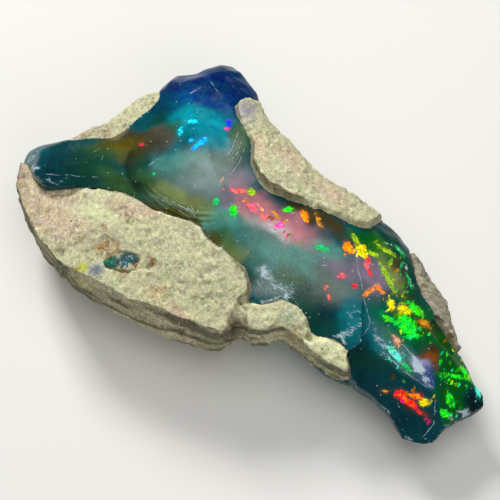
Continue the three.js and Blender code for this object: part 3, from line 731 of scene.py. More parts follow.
def flat_masks(points):
    """Where each flat of the tail is, and where none of them is."""
    masks = {"": np.ones(len(points)), "crown": np.ones(len(points))}
    for name, (at, least, facing) in FLATS.items():
        unit = np.array(facing) / np.linalg.norm(facing)
        near = 1 - ramp(*FLAT_NEAR, np.abs((points - at) @ unit))
        masks[name] = near * ramp(least - FLAT_SOFT, least + FLAT_SOFT, points[:, 0])
        masks["crown"] *= 1 - masks[name]
    return masks


def blend_patches(points, zones, palette, base, hold, mask):
    """Linear colours that run softly from patch to patch over a base colour."""
    moved = wandered(points, ZONE_EDGE)
    masks = flat_masks(points)
    total = np.tile(np.array(linear(base)[:3]) * hold, (len(points), 1))
    weight = np.full(len(points), hold)
    for patch in zones:
        share = np.exp(-ZONE_FALL * reach(moved, patch) ** 2) * mask * masks[patch.on]
        total += share[:, None] * np.array(linear(palette[patch.hue])[:3])
        weight += share
    return total / weight[:, None]


def strongest(points, fields, mask, soft=0.6):
    """The greatest strength of any patch, falling off round each one's edge."""
    moved = wandered(points, SPOT_EDGE)
    masks = flat_masks(points)
    value = np.zeros(len(points))
    for patch in fields:
        inside = 1 - ramp(1 - soft, 1 + soft, reach(moved, patch))
        value = np.maximum(value, patch.hue * inside * masks[patch.on])
    return value * mask


class Skin:
    """An even skin of quads over a CAD node, in millimetres, with its attributes."""

    def __init__(self, node_name, cell):
        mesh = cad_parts[node_name].data.copy()
        mesh.transform(Matrix.Scale(1 / MM, 4))
        shell = bmesh.new()
        shell.from_mesh(mesh)
        bmesh.ops.remove_doubles(shell, verts=shell.verts, dist=WELD)
        shell.to_mesh(mesh)
        shell.free()
        temporary = bpy.data.objects.new("skin", mesh)
        bpy.context.scene.collection.objects.link(temporary)
        even = temporary.modifiers.new("Even skin", "REMESH")
        even.mode = "VOXEL"
        even.voxel_size = cell
        shown = temporary.evaluated_get(bpy.context.evaluated_depsgraph_get())
        made = bpy.data.meshes.new_from_object(shown)
        self.at = np.empty(len(made.vertices) * 3)
        made.vertices.foreach_get("co", self.at)
        self.at = self.at.reshape(-1, 3)
        corners = np.empty(len(made.loops), np.int64)
        made.loops.foreach_get("vertex_index", corners)
        self.quads = corners.reshape(-1, 4)
        self.values = {}
        bpy.data.objects.remove(temporary)
        bpy.data.meshes.remove(made)
        bpy.data.meshes.remove(mesh)

    def face_normals(self):
        """Area-weighted normals and middles of the quads."""
        p = self.at[self.quads]
        return np.cross(p[:, 2] - p[:, 0], p[:, 3] - p[:, 1]) / 2, p.mean(axis=1)

    def normals(self):
        """Unit normals at the corners."""
        faces, _ = self.face_normals()
        total = np.stack([np.bincount(self.quads.ravel(), np.repeat(faces[:, k], 4), len(self.at))
                          for k in range(3)], axis=1)
        return total / np.maximum(np.linalg.norm(total, axis=1, keepdims=True), LEAST_LENGTH)

    def spread(self, value):
        """A value at the corners averaged over the faces round each."""
        face = value[self.quads].mean(axis=1)
        count = np.bincount(self.quads.ravel(), minlength=len(self.at))
        total = np.bincount(self.quads.ravel(), np.repeat(face, 4), len(self.at))
        return total / np.maximum(count, 1)

    def neighbours(self):
        """Pairs of faces that share an edge."""
        a, b = self.quads, np.roll(self.quads, -1, axis=1)
        key = np.minimum(a, b).ravel() * len(self.at) + np.maximum(a, b).ravel()
        owner = np.repeat(np.arange(len(self.quads)), 4)
        order = np.argsort(key, kind="stable")
        same = key[order][1:] == key[order][:-1]
        return owner[order][:-1][same], owner[order][1:][same]

    def fair(self, rounds, sharp):
        """Smooths the faces but keeps breaks sharper than the given change of normal."""
        left, right = self.neighbours()
        count = np.bincount(self.quads.ravel(), minlength=len(self.at))
        for _ in range(rounds):
            raw, middle = self.face_normals()
            area = np.linalg.norm(raw, axis=1)
            unit = raw / np.maximum(area, LEAST_LENGTH)[:, None]
            for _ in range(NORMAL_ROUNDS):
                close = np.exp(-((unit[left] - unit[right]) ** 2).sum(axis=1) / (2 * sharp ** 2))
                total = unit * area[:, None]
                for k in range(3):
                    for face, other in ((left, right), (right, left)):
                        pull = close * area[other] * unit[other, k]
                        total[:, k] += np.bincount(face, pull, len(unit))
                length = np.linalg.norm(total, axis=1)
                unit = total / np.maximum(length, LEAST_LENGTH)[:, None]
            move = np.zeros_like(self.at)
            for corner in range(4):
                v = self.quads[:, corner]
                off = ((middle - self.at[v]) * unit).sum(axis=1)
                for k in range(3):
                    move[:, k] += np.bincount(v, off * unit[:, k], len(self.at))
            self.at += move / np.maximum(count, 1)[:, None]

    def bulge(self):
        """How far each corner stands out of its surroundings, in mm; pits are negative."""
        away = self.at - np.stack([self.spread(self.at[:, k]) for k in range(3)], axis=1)
        return (away * self.normals()).sum(axis=1)

    def to_piece(self, name, material, node):
        """The finished piece: kept in the CAD box, riding on the stone's body."""
        low, high = np.array(CAD_BOX[0]) / MM, np.array(CAD_BOX[1]) / MM
        mesh = bpy.data.meshes.new(name)
        mesh.from_pydata((np.clip(self.at, low, high) * MM).tolist(), [], self.quads.tolist())
        mesh.polygons.foreach_set("use_smooth", [True] * len(self.quads))
        for key, value in self.values.items():
            kind = "FLOAT" if value.ndim == 1 else "FLOAT_VECTOR"
            layer = mesh.attributes.new(key, kind, "POINT")
            layer.data.foreach_set("value" if kind == "FLOAT" else "vector", value.ravel())
        return finish_piece(name, mesh, material, node)


def finish_piece(name, mesh, material, node):
    """Puts a finished mesh in the scene, on the stone's body."""
    mesh.materials.clear()
    mesh.materials.append(material)
    mesh.update()
    piece = bpy.data.objects.new(name, mesh)
    bpy.context.scene.collection.objects.link(piece)
    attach(piece, BODY)
    if node:
        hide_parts(node)
    return piece


def new_material(name):
    """An empty node material, and the adder of its nodes."""
    material = bpy.data.materials.new(name)
    material.use_nodes = True
    material.node_tree.nodes.clear()
    return material, partial(add, material.node_tree)


# ---- materials ----------------------------------------------------------------------------
# Node settings that the materials share: colour over colour, times and plus; and sums.
OVER = {"data_type": "RGBA"}
TINTED = {"data_type": "RGBA", "blend_type": "MULTIPLY"}
SUMMED = {"data_type": "RGBA", "blend_type": "ADD"}
PLUS = {"operation": "ADD"}
TIMES = {"operation": "MULTIPLY"}
TIMES_PLUS = {"operation": "MULTIPLY_ADD"}
LARGER = {"operation": "MAXIMUM"}
# Roughness of a cloudy noise and of a grainy one.
CLOUDY = {"Detail": 3.0, "Roughness": 0.6}
GRAINY = {"Detail": 4.0, "Roughness": 0.72}
BLACK = (0.0, 0.0, 0.0, 1.0)
# What is painted on each skin, and the output that each attribute is read from.
OPAL_PAINT = {
    "tint": "Color", "flash": "Color", "strand": "Vector", "flash_level": "Fac", "sparks": "Fac",
    "scratch": "Fac", "scratch_ink": "Fac", "frost": "Fac", "haze": "Fac",
}
FLASH_PAINT = ("flash", "flash_level", "strand")
ROCK_PAINT = {"tint": "Color", "stain": "Fac", "shade": "Fac", "worn": "Fac"}


def precious_opal(colours, name="Precious opal, broken"):
    """Precious opal as broken: glassy to waxy and cloudy, with spectral fire in torn, fibrous
    flakes. It gives the eye a deep colour under a wet-looking skin, white where bruised and where
    its rims and break edges carry painted highlight."""
    material, put = new_material(name)
    place = put("TexCoord", out="Object")
    paint = {key: put("Attribute", {"attribute_name": key}, out=kind)
             for key, kind in OPAL_PAINT.items()}
    # The body colour, clouded 2.2 mm across and faintly mottled at 0.7 mm.
    cloud = put("TexNoise", Vector=place, Scale=pitch(2.2), **CLOUDY)
    cloud = put("MapRange", Value=cloud, From_Min=0.35, From_Max=0.68, To_Min=0.8, To_Max=1.2)
    body = put("Mix", TINTED, out=2, i0=1.0, i6=paint["tint"], i7=cloud)
    mottle = put("TexNoise", Vector=place, Scale=pitch(0.7), **CLOUDY)
    shift = put("MapRange", Value=mottle, From_Min=0.3, From_Max=0.7, To_Min=0.47, To_Max=0.53)
    body = put("HueSaturation", Hue=shift, Saturation=1.06, Color=body)
    # Silica fibres 0.12 mm thick, loosely drawn out along the break, as a pale haze.
    drawn = put("Mapping", Vector=place, Rotation=(0.0, 0.0, math.radians(55)),
                Scale=(1.0, 0.4, 0.6))
    fibre = put("TexNoise", Vector=drawn, Scale=pitch(0.12), **GRAINY)
    fibre = put("MapRange", Value=fibre, From_Min=0.4, From_Max=0.66, To_Min=0.35)
    haze = put("Math", TIMES, i0=fibre, i1=paint["haze"])
    body = put("Mix", OVER, out=2, i0=haze, i6=body, i7=linear("#cfd8d2"))
    # Fire: torn at 0.35 mm, with strands 0.14 mm wide that run along each flash, and a dim
    # glow round it.
    torn = put("TexNoise", Vector=place, Scale=pitch(0.35), **GRAINY)
    strand = put("TexNoise", Vector=paint["strand"], Scale=7.0, **CLOUDY)
    edge = put("Math", TIMES_PLUS, i0=torn, i1=0.6, i2=paint["flash_level"])
    edge = put("Math", TIMES_PLUS, i0=strand, i1=0.4, i2=edge)
    core = put("MapRange", Value=edge, From_Min=0.42, From_Max=0.56)
    glow = put("Math", TIMES_PLUS, i0=torn, i1=0.8, i2=paint["flash_level"])
    glow = put("MapRange", {"interpolation_type": "SMOOTHSTEP"}, Value=glow,
               From_Min=0.05, From_Max=0.7, To_Max=0.42)
    shift = put("TexNoise", Vector=place, Scale=pitch(0.45), **CLOUDY)
    shift = put("MapRange", Value=shift, From_Min=0.3, From_Max=0.7, To_Min=0.48, To_Max=0.525)
    sheen = put("MapRange", Value=strand, From_Min=0.36, From_Max=0.66, To_Min=0.45, To_Max=1.35)
    fire = put("HueSaturation", Hue=shift, Value=sheen, Color=paint["flash"])
    dim = put("HueSaturation", Value=0.42, Color=paint["flash"])
    lit = put("Mix", OVER, out=2, i0=glow, i6=body, i7=dim)
    lit = put("Mix", OVER, out=2, i0=core, i6=lit, i7=fire)
    # Sparks: slivers 0.26 mm across in hues about that of the nearest flash.
    slant = put("Mapping", Vector=place, Rotation=(0.0, 0.0, math.radians(-35)),
                Scale=(1.0, 0.55, 0.8))
    bend = put("TexNoise", out="Color", Vector=place, Scale=pitch(0.35), **CLOUDY)
    slant = put("Mix", SUMMED, out=2, i0=0.5 * MM, i6=slant, i7=bend)
    flake = put("TexVoronoi", out="Color", Vector=slant, Scale=pitch(0.26))
    pick = put("SeparateColor", out=None, i0=flake).outputs
    chance = put("Math", TIMES_PLUS, i0=paint["sparks"], i1=0.34, i2=pick[0])
    shown = put("MapRange", Value=chance, From_Min=1.0, From_Max=1.03)
    shift = put("MapRange", Value=pick[1], To_Min=0.43, To_Max=0.57)
    bright = put("MapRange", Value=pick[2], To_Min=0.2, To_Max=1.0)
    spark = put("HueSaturation", Hue=shift, Value=bright, Color=paint["flash"])
    lit = put("Mix", OVER, out=2, i0=shown, i6=lit, i7=spark)
    # Bruises, and the painted highlight on rims and break edges: streaks 0.3 mm wide, dusted
    # at 0.16 mm.
    drawn = put("Mapping", Vector=place, Rotation=(0.0, 0.0, math.radians(8)),
                Scale=(0.35, 1.0, 1.0))
    streak = put("TexNoise", Vector=drawn, Scale=pitch(0.3), **GRAINY)
    streak = put("MapRange", Value=streak, From_Min=0.38, From_Max=0.64)
    dusting = put("TexNoise", Vector=place, Scale=pitch(0.16), **GRAINY)
    dusting = put("MapRange", Value=dusting, From_Min=0.3, From_Max=0.58)
    crushed = put("Math", TIMES, i0=streak, i1=dusting)
    frosted = put("Math", PLUS, i0=paint["frost"], i1=crushed)
    frosted = put("MapRange", Value=frosted, From_Min=0.95, From_Max=1.6, To_Max=0.95)
    # Hairlines, broken every half millimetre: scratches, and painted highlights along break edges.
    away = put("Math", {"operation": "ABSOLUTE"}, i0=paint["scratch"])
    line = put("MapRange", Value=away, From_Min=0.015, From_Max=0.05, To_Min=0.7, To_Max=0.0)
    broken = put("TexNoise", Vector=place, Scale=pitch(0.5), **CLOUDY)
    broken = put("MapRange", Value=broken, From_Min=0.4, From_Max=0.58)
    hairline_and_glint = put("Math", TIMES, i0=line, i1=paint["scratch_ink"])
    hairline_and_glint = put("Math", TIMES, i0=hairline_and_glint, i1=broken)
    # Dust: a mote about every 2 mm.
    mote = put("TexVoronoi", out=None, Vector=place, Scale=pitch(0.7)).outputs
    seen = put("SeparateColor", i0=mote["Color"])
    seen = put("MapRange", Value=seen, From_Min=0.4, From_Max=0.65)
    dot = put("MapRange", Value=mote["Distance"], From_Min=0.06, From_Max=0.12,
              To_Min=0.7, To_Max=0.0)
    dust = put("Math", TIMES, i0=dot, i1=seen)
    white = put("Math", LARGER, i0=frosted, i1=hairline_and_glint)
    white = put("Math", LARGER, i0=white, i1=dust)
    colour = put("Mix", OVER, out=2, i0=white, i6=lit, i7=linear(colours.frost))
    # The fire shines by itself, with a faint light in its glow.
    burning = put("Math", LARGER, i0=core, i1=shown)
    shine = put("Mix", OVER, out=2, i0=shown, i6=fire, i7=spark)
    shine = put("Mix", OVER, out=2, i0=burning, i6=BLACK, i7=shine)
    ember = put("HueSaturation", Value=0.15, Color=paint["flash"])
    ember = put("Mix", OVER, out=2, i0=glow, i6=BLACK, i7=ember)
    shine = put("Mix", SUMMED, out=2, i0=1.0, i6=shine, i7=ember)
    rough = put("MapRange", Value=white, To_Min=0.2, To_Max=0.62)
    # Ripples 1.1 mm across, and the roughness of the bruises.
    ripple = put("TexNoise", Vector=place, Scale=pitch(1.1), Detail=4.0, Roughness=0.5)
    height = put("Math", TIMES_PLUS, i0=white, i1=0.7, i2=ripple)
    bump = put("Bump", Height=height, Strength=0.3, Distance=0.05 * MM)
    surface = put("BsdfPrincipled", Base_Color=colour, Roughness=rough, Normal=bump,
                  IOR=1.45, Specular_IOR_Level=0.12, Transmission_Weight=0.16, Coat_Weight=0.06,
                  Coat_Roughness=0.08, Emission_Color=shine, Emission_Strength=0.5)
    depth = put("VolumeAbsorption", Color=linear("#1f8c92"), Density=2000.0)
    put("OutputMaterial", out=None, Surface=surface, Volume=depth)
    return material


def volcanic_rock(colours, name, bleach=1.0, stretch=(1.0, 1.0, 1.0), turn=0.0):
    """Weathered rhyolite tuff as broken: chalky and matt, a felt of pale clay and lavender
    grains with dark pits. It gives the eye a dry, sandy face beside the wet opal."""
    material, put = new_material(name)
    place = put("TexCoord", out="Object")
    laid = put("Mapping", Vector=place, Rotation=(0.0, 0.0, turn), Scale=stretch)
    paint = {key: put("Attribute", {"attribute_name": key}, out=kind)
             for key, kind in ROCK_PAINT.items()}
    # Mottling 0.8 mm across in lavender, grey-green and cream, none where the rock is stained
    # nor in the painted shadow of the gap.
    mottle = put("TexNoise", out="Color", Vector=laid, Scale=pitch(0.8), Detail=6.0, Roughness=0.8)
    drift = put("SeparateColor", out=None, i0=mottle).outputs
    clean = put("MapRange", Value=paint["stain"], To_Min=bleach, To_Max=0.0)
    ground = paint["tint"]
    layers = ((drift[0], colours.rock_flush, 0.65), (drift[1], colours.rock_green, 0.5),
              (drift[2], colours.rock_pale, 0.55))
    for cloud, hue, most in layers:
        share = put("MapRange", Value=cloud, From_Min=0.46, From_Max=0.66, To_Max=most)
        share = put("Math", TIMES, i0=share, i1=clean)
        ground = put("Mix", OVER, out=2, i0=share, i6=ground, i7=linear(hue))
    # Cream clay between 0.28 mm grains, and a 0.14 mm speckle.
    clay = put("TexNoise", Vector=laid, Scale=pitch(0.28), **GRAINY)
    clay = put("MapRange", Value=clay, From_Min=0.46, From_Max=0.62, To_Max=0.42)
    clay = put("Math", TIMES, i0=clay, i1=clean)
    ground = put("Mix", OVER, out=2, i0=clay, i6=ground, i7=linear(colours.rock_pale))
    speckle = put("TexNoise", Vector=laid, Scale=pitch(0.14), **GRAINY)
    speckle = put("MapRange", Value=speckle, From_Min=0.3, From_Max=0.7, To_Min=0.74, To_Max=1.2)
    ground = put("Mix", TINTED, out=2, i0=1.0, i6=ground, i7=speckle)
    # Single grains 0.2 mm across: some yellower, some pinker, some grey.
    grain = put("TexNoise", out="Color", Vector=laid, Scale=pitch(0.2), **GRAINY)
    grain = put("SeparateColor", out=None, i0=grain).outputs
    shift = put("MapRange", Value=grain[0], From_Min=0.3, From_Max=0.7, To_Min=0.44, To_Max=0.55)
    depth = put("MapRange", Value=grain[1], From_Min=0.3, From_Max=0.7, To_Min=0.5, To_Max=1.6)
    ground = put("HueSaturation", Hue=shift, Saturation=depth, Color=ground)
    # Cracks 2.4 mm apart, open in places, with iron stain along them.
    bend = put("TexNoise", out="Color", Vector=laid, Scale=pitch(0.8), **GRAINY)
    bent = put("Mix", SUMMED, out=2, i0=0.6 * MM, i6=laid, i7=bend)
    seam = put("TexVoronoi", {"feature": "DISTANCE_TO_EDGE"}, out="Distance", Vector=bent,
               Scale=pitch(2.4))
    part = put("TexNoise", Vector=laid, Scale=pitch(1.6), **CLOUDY)
    part = put("MapRange", Value=part, From_Min=0.56, From_Max=0.66)
    stain = put("MapRange", Value=seam, From_Max=0.07, To_Min=0.4, To_Max=0.0)
    stain = put("Math", TIMES, i0=stain, i1=part)
    ground = put("Mix", OVER, out=2, i0=stain, i6=ground, i7=linear(ROCK_TINTS["iron"]))
    crack = put("MapRange", Value=seam, From_Max=0.016, To_Min=0.7, To_Max=0.0)
    crack = put("Math", TIMES, i0=crack, i1=part)
    # Pits 0.2 mm across in loose swarms.
    pit = put("TexVoronoi", out=None, Vector=laid, Scale=pitch(0.5)).outputs
    rare = put("SeparateColor", i0=pit["Color"])
    rare = put("MapRange", Value=rare, From_Min=0.62, From_Max=0.7)
    swarm = put("TexNoise", Vector=laid, Scale=pitch(2.6), **CLOUDY)
    swarm = put("MapRange", Value=swarm, From_Min=0.44, From_Max=0.62)
    dot = put("MapRange", Value=pit["Distance"], From_Min=0.1, From_Max=0.28, To_Min=0.85,
              To_Max=0.0)
    dot = put("Math", TIMES, i0=dot, i1=swarm)
    dot = put("Math", TIMES, i0=dot, i1=rare)
    hole = put("Math", LARGER, i0=dot, i1=crack)
    ground = put("Mix", OVER, out=2, i0=hole, i6=ground, i7=linear(colours.rock_dark))
    # Painted highlight on its knobs, painted shade in its hollows and down its sides, where
    # darker and paler layers also show.
    worn = put("MapRange", Value=paint["worn"], From_Min=-0.02, From_Max=0.02,
               To_Min=0.72, To_Max=1.2)
    worn = put("Math", TIMES, i0=worn, i1=paint["shade"])
    colour = put("Mix", TINTED, out=2, i0=1.0, i6=ground, i7=worn)
    rough = put("MapRange", Value=clay, From_Max=0.5, To_Min=0.97, To_Max=0.84)
    fine = put("TexNoise", Vector=laid, Scale=pitch(0.2), Detail=5.0, Roughness=0.75)
    height = put("Math", TIMES_PLUS, i0=hole, i1=-0.8, i2=fine)
    bump = put("Bump", Height=height, Strength=0.7, Distance=0.12 * MM)
    surface = put("BsdfPrincipled", Base_Color=colour, Roughness=rough, Normal=bump,
                  Specular_IOR_Level=0.25)
    put("OutputMaterial", out=None, Surface=surface)
    return material


def loose_grain(colours):
    """Quartz and feldspar grains, weathered: mostly pale, some grey, a few dark and glassy.
    They give the eye the sparkle and the fine shadows of a sandy face."""
    material, put = new_material("Weathered sand grains")
    shade = put("Attribute", {"attribute_name": "shade"}, out="Fac")
    ladder = put("ValToRGB", out=None, Fac=shade)
    stops = ((0.0, colours.rock_dark), (0.12, colours.rock_flush), (0.5, colours.rock),
             (0.8, colours.rock_pale))
    for position, _ in stops[1:-1]:
        ladder.color_ramp.elements.new(position)
    for stop, (position, colour) in zip(ladder.color_ramp.elements, stops):
        stop.position = position
        stop.color = linear(colour)
    place = put("TexCoord", out="Object")
    speckle = put("TexNoise", Vector=place, Scale=pitch(0.06), **CLOUDY)
    speckle = put("MapRange", Value=speckle, From_Min=0.3, From_Max=0.7, To_Min=0.8, To_Max=1.2)
    colour = put("Mix", TINTED, out=2, i0=1.0, i6=ladder.outputs[0], i7=speckle)
    rough = put("MapRange", Value=shade, From_Max=0.4, To_Min=0.4, To_Max=0.85)
    surface = put("BsdfPrincipled", Base_Color=colour, Roughness=rough)
    put("OutputMaterial", out=None, Surface=surface)
    return material


def plain_floor(colours):
    """Matt painted board: it gives the eye nothing but soft shadow."""
    material, put = new_material("Matt board")
    surface = put("BsdfPrincipled", Base_Color=linear(colours.floor), Roughness=0.85)
    put("OutputMaterial", out=None, Surface=surface)
    return material


# ---- pieces -------------------------------------------------------------------------------
def flash_attributes(points, flashes, heights=None):
    """Nearest flash: its colour, the distance inside its edge in mm, and the place along and
    across it that its strands follow."""
    colour = np.zeros((len(points), 3))
    level = np.full(len(points), NO_FLASH)
    strand = np.zeros((len(points), 3))
    masks = flat_masks(points)
    for number, patch in enumerate(flashes):
        away = reach(points, patch) + OFF_FLAT * (1 - masks[patch.on])
        if heights is not None:
            away = np.hypot(away, (points[:, 2] - heights[number]) / patch.width)
        inside = (1 - away) * min(patch.length, patch.width)
        nearer = inside > level
        level[nearer] = inside[nearer]
        colour[nearer] = linear(HUES[patch.hue])[:3]
        along, across = in_patch(points, patch)
        drawn = (STRAND_ALONG * along, across, STRAND_UP * points[:, 2] + number)
        strand[nearer] = np.stack(drawn, axis=1)[nearer]
    return colour, level, strand


def add_fire(skin, upward):
    """Flashes: those of the broad face, and others strewn over the sides and underside."""
    rng = np.random.default_rng(HIDDEN_FIRE_SEED)
    p, hidden, heights = skin.at, [], []
    spots = np.flatnonzero((skin.normals()[:, 2] < 0.0) & (p[:, 0] > HIDDEN_FIRE_LEAST_X))
    for spot in rng.choice(spots, HIDDEN_FIRE_COUNT, replace=False):
        half = rng.uniform(*HIDDEN_FIRE_HALF)
        length = half * rng.uniform(*HIDDEN_FIRE_SLENDER)
        turn = rng.uniform(*HIDDEN_FIRE_TURN)
        hue = HIDDEN_FIRE[rng.integers(len(HIDDEN_FIRE))]
        hidden.append(Patch(p[spot, 0], p[spot, 1], length, half, turn, hue))
        heights.append(p[spot, 2])
    top = flash_attributes(p, OPAL_FLASHES)
    side = flash_attributes(p, hidden, heights)
    above = upward > 0.5
    for key, shown, covered in zip(FLASH_PAINT, top, side):
        mask = above if shown.ndim == 1 else above[:, None]
        skin.values[key] = np.where(mask, shown, covered)


def add_hairlines(skin, upward):
    """Signed distance in mm to the nearest hairline, and how strongly it is drawn there."""
    p = wandered(skin.at, HAIR_EDGE)[:, :2]
    nearest = np.full(len(p), NO_HAIR)
    signed = np.full(len(p), NO_HAIR)
    ink = np.zeros(len(p))
    for line in HAIRLINES:
        points = np.array(line)
        lengths = np.linalg.norm(np.diff(points, axis=0), axis=1)
        start = np.concatenate([[0], np.cumsum(lengths)])
        for a, b, span, before in zip(points[:-1], points[1:], lengths, start):
            along = (p - a) @ (b - a) / span
            held = np.clip(along, 0, span)
            offset = p - a - held[:, None] * (b - a) / span
            away = np.hypot(offset[:, 0], offset[:, 1])
            side = np.sign((b - a)[0] * (p - a)[:, 1] - (b - a)[1] * (p - a)[:, 0])
            closer = away < nearest
            nearest[closer] = away[closer]
            signed[closer] = (side * away)[closer]
            share = (before + along) / start[-1]
            fade = ramp(*HAIR_START, share) * (1 - ramp(*HAIR_END, share))
            ink[closer] = fade[closer]
    skin.values["scratch"] = signed
    skin.values["scratch_ink"] = ink * upward


def rippled(points, upward):
    """Height in mm of the fan of ripples under the ledge."""
    dx, dy = points[:, 0] - RIPPLE_CENTRE[0], points[:, 1] - RIPPLE_CENTRE[1]
    out = np.hypot(dx, dy) + waves(points, RIPPLE_WOBBLE)
    angle = np.degrees(np.arctan2(dy, dx))
    ring = ramp(RIPPLE_RING[0], RIPPLE_RING[0] + RIPPLE_SOFT, out)
    ring = ring * (1 - ramp(*RIPPLE_RING, out) ** 4)
    arc = ramp(RIPPLE_ARC[0], RIPPLE_ARC[0] + RIPPLE_ENDS, angle)
    arc = arc * (1 - ramp(RIPPLE_ARC[1] - RIPPLE_ENDS, RIPPLE_ARC[1], angle))
    return RIPPLE_HEIGHT * np.sin(2 * math.pi * out / RIPPLE_PITCH) * ring * arc * upward


def dished(points, upward):
    """Depth in mm of the dish beside the arm: sharp at its rim, running out in the middle."""
    dx, dy = points[:, 0] - DISH_CENTRE[0], points[:, 1] - DISH_CENTRE[1]
    out = (np.hypot(dx, dy) + waves(points, DISH_WOBBLE)) / DISH_RADIUS
    angle = np.degrees(np.arctan2(dy, dx)) % 360
    arc = ramp(DISH_ARC[0], DISH_ARC[0] + DISH_ENDS, angle)
    arc = arc * (1 - ramp(DISH_ARC[1] - DISH_ENDS, DISH_ARC[1], angle))
    wall = 1 - ramp(*DISH_RIM, out)
    return DISH_DEPTH * wall * ramp(*DISH_SLOPE, out) * arc * upward


def make_opal(sizes, colours):
    """The opal body: even skin, sharp breaks kept, colour zones, fire, and edges painted white
    as bruising and as painted highlight.
    """
    skin = Skin("opal", sizes.skin / MM)
    skin.fair(*OPAL_FAIRING)
    out = skin.normals()
    p = skin.at
    upward = ramp(*OPAL_UP, out[:, 2])
    ripple = rippled(p, upward)
    dish = dished(p, upward)
    lift = waves(p, OPAL_SWELL) + ripple - dish
    skin.at = p + out * lift[:, None]
    p = skin.at
    tint = blend_patches(p, OPAL_ZONES, HUES, colours.opal, OPAL_HOLD, upward)
    # The ripples' crests are painted paler as painted highlight, and the dish darker as painted
    # shade.
    relief = RIPPLE_HIGHLIGHT * ripple / RIPPLE_HEIGHT - DISH_SHADE * dish / DISH_DEPTH
    skin.values["tint"] = tint * (1 + waves(p, OPAL_MOTTLE) + relief)[:, None]
    add_fire(skin, upward)
    sparks = strongest(p, SPARK_FIELDS, upward, SPARK_SOFT)
    skin.values["sparks"] = np.maximum(sparks, SIDE_SPARKS * (1 - upward))
    add_hairlines(skin, upward)
    # Edges that stand out are painted white: bruising, and painted highlight.
    bulge = skin.bulge()
    for _ in range(EDGE_ROUNDS):
        bulge = skin.spread(bulge)
    edge = EDGE_FROST_HIGHLIGHT * ramp(*EDGE_OUT, bulge)
    skin.values["frost"] = np.maximum(edge, strongest(p, FROST_PATCHES, upward))
    skin.values["haze"] = strongest(p, HAZE_PATCHES, upward, HAZE_SOFT)
    return skin.to_piece("opal_body", precious_opal(colours), "opal")


def make_speck(colours):
    """The small speck of opal in the front rock: raised, ragged and half crusted over."""
    skin = Skin("opal_speck", SPECK_SKIN)
    rough = waves(skin.at, SPECK_ROUGH)
    skin.at += skin.normals() * (SPECK_SWOLLEN + rough)[:, None] + [0, 0, SPECK_RAISED]
    skin.at[:, :2] = wandered(skin.at, SPECK_EDGE)[:, :2]
    p = skin.at
    whole = np.ones(len(p))
    tint = blend_patches(p, SPECK_ZONES, HUES, colours.opal, SPECK_HOLD, whole)
    # Rock still clings round its two bare lobes, iron-stained in places.
    bare = np.minimum(*(reach(p, lobe) for lobe in SPECK_LOBES)) + waves(p, SPECK_BARE_EDGE)
    crust = ramp(*CRUST_EDGE, bare)[:, None]
    stained = SPECK_STAINED * ramp(*STAIN_EDGE, waves(p, SPECK_STAIN))[:, None]
    pale, iron = (np.array(linear(hue)[:3]) for hue in (colours.rock, ROCK_TINTS["iron"]))
    skin.values["tint"] = tint + crust * (pale + stained * (iron - pale) - tint)
    for key, value in zip(FLASH_PAINT, flash_attributes(p, SPECK_GLINTS)):
        skin.values[key] = value
    skin.values["frost"] = SPECK_FROST * ramp(*BLOOM_EDGE, waves(p, SPECK_BLOOM))
    skin.values["sparks"] = SPECK_SPARKS * (1 - crust[:, 0])
    skin.values["haze"] = SPECK_HAZE * whole
    skin.values["scratch"] = NO_HAIR * whole
    skin.values["scratch_ink"] = 0 * whole
    return skin.to_piece("opal_speck_face", precious_opal(colours, "Precious opal, speck"),
                         "opal_speck")


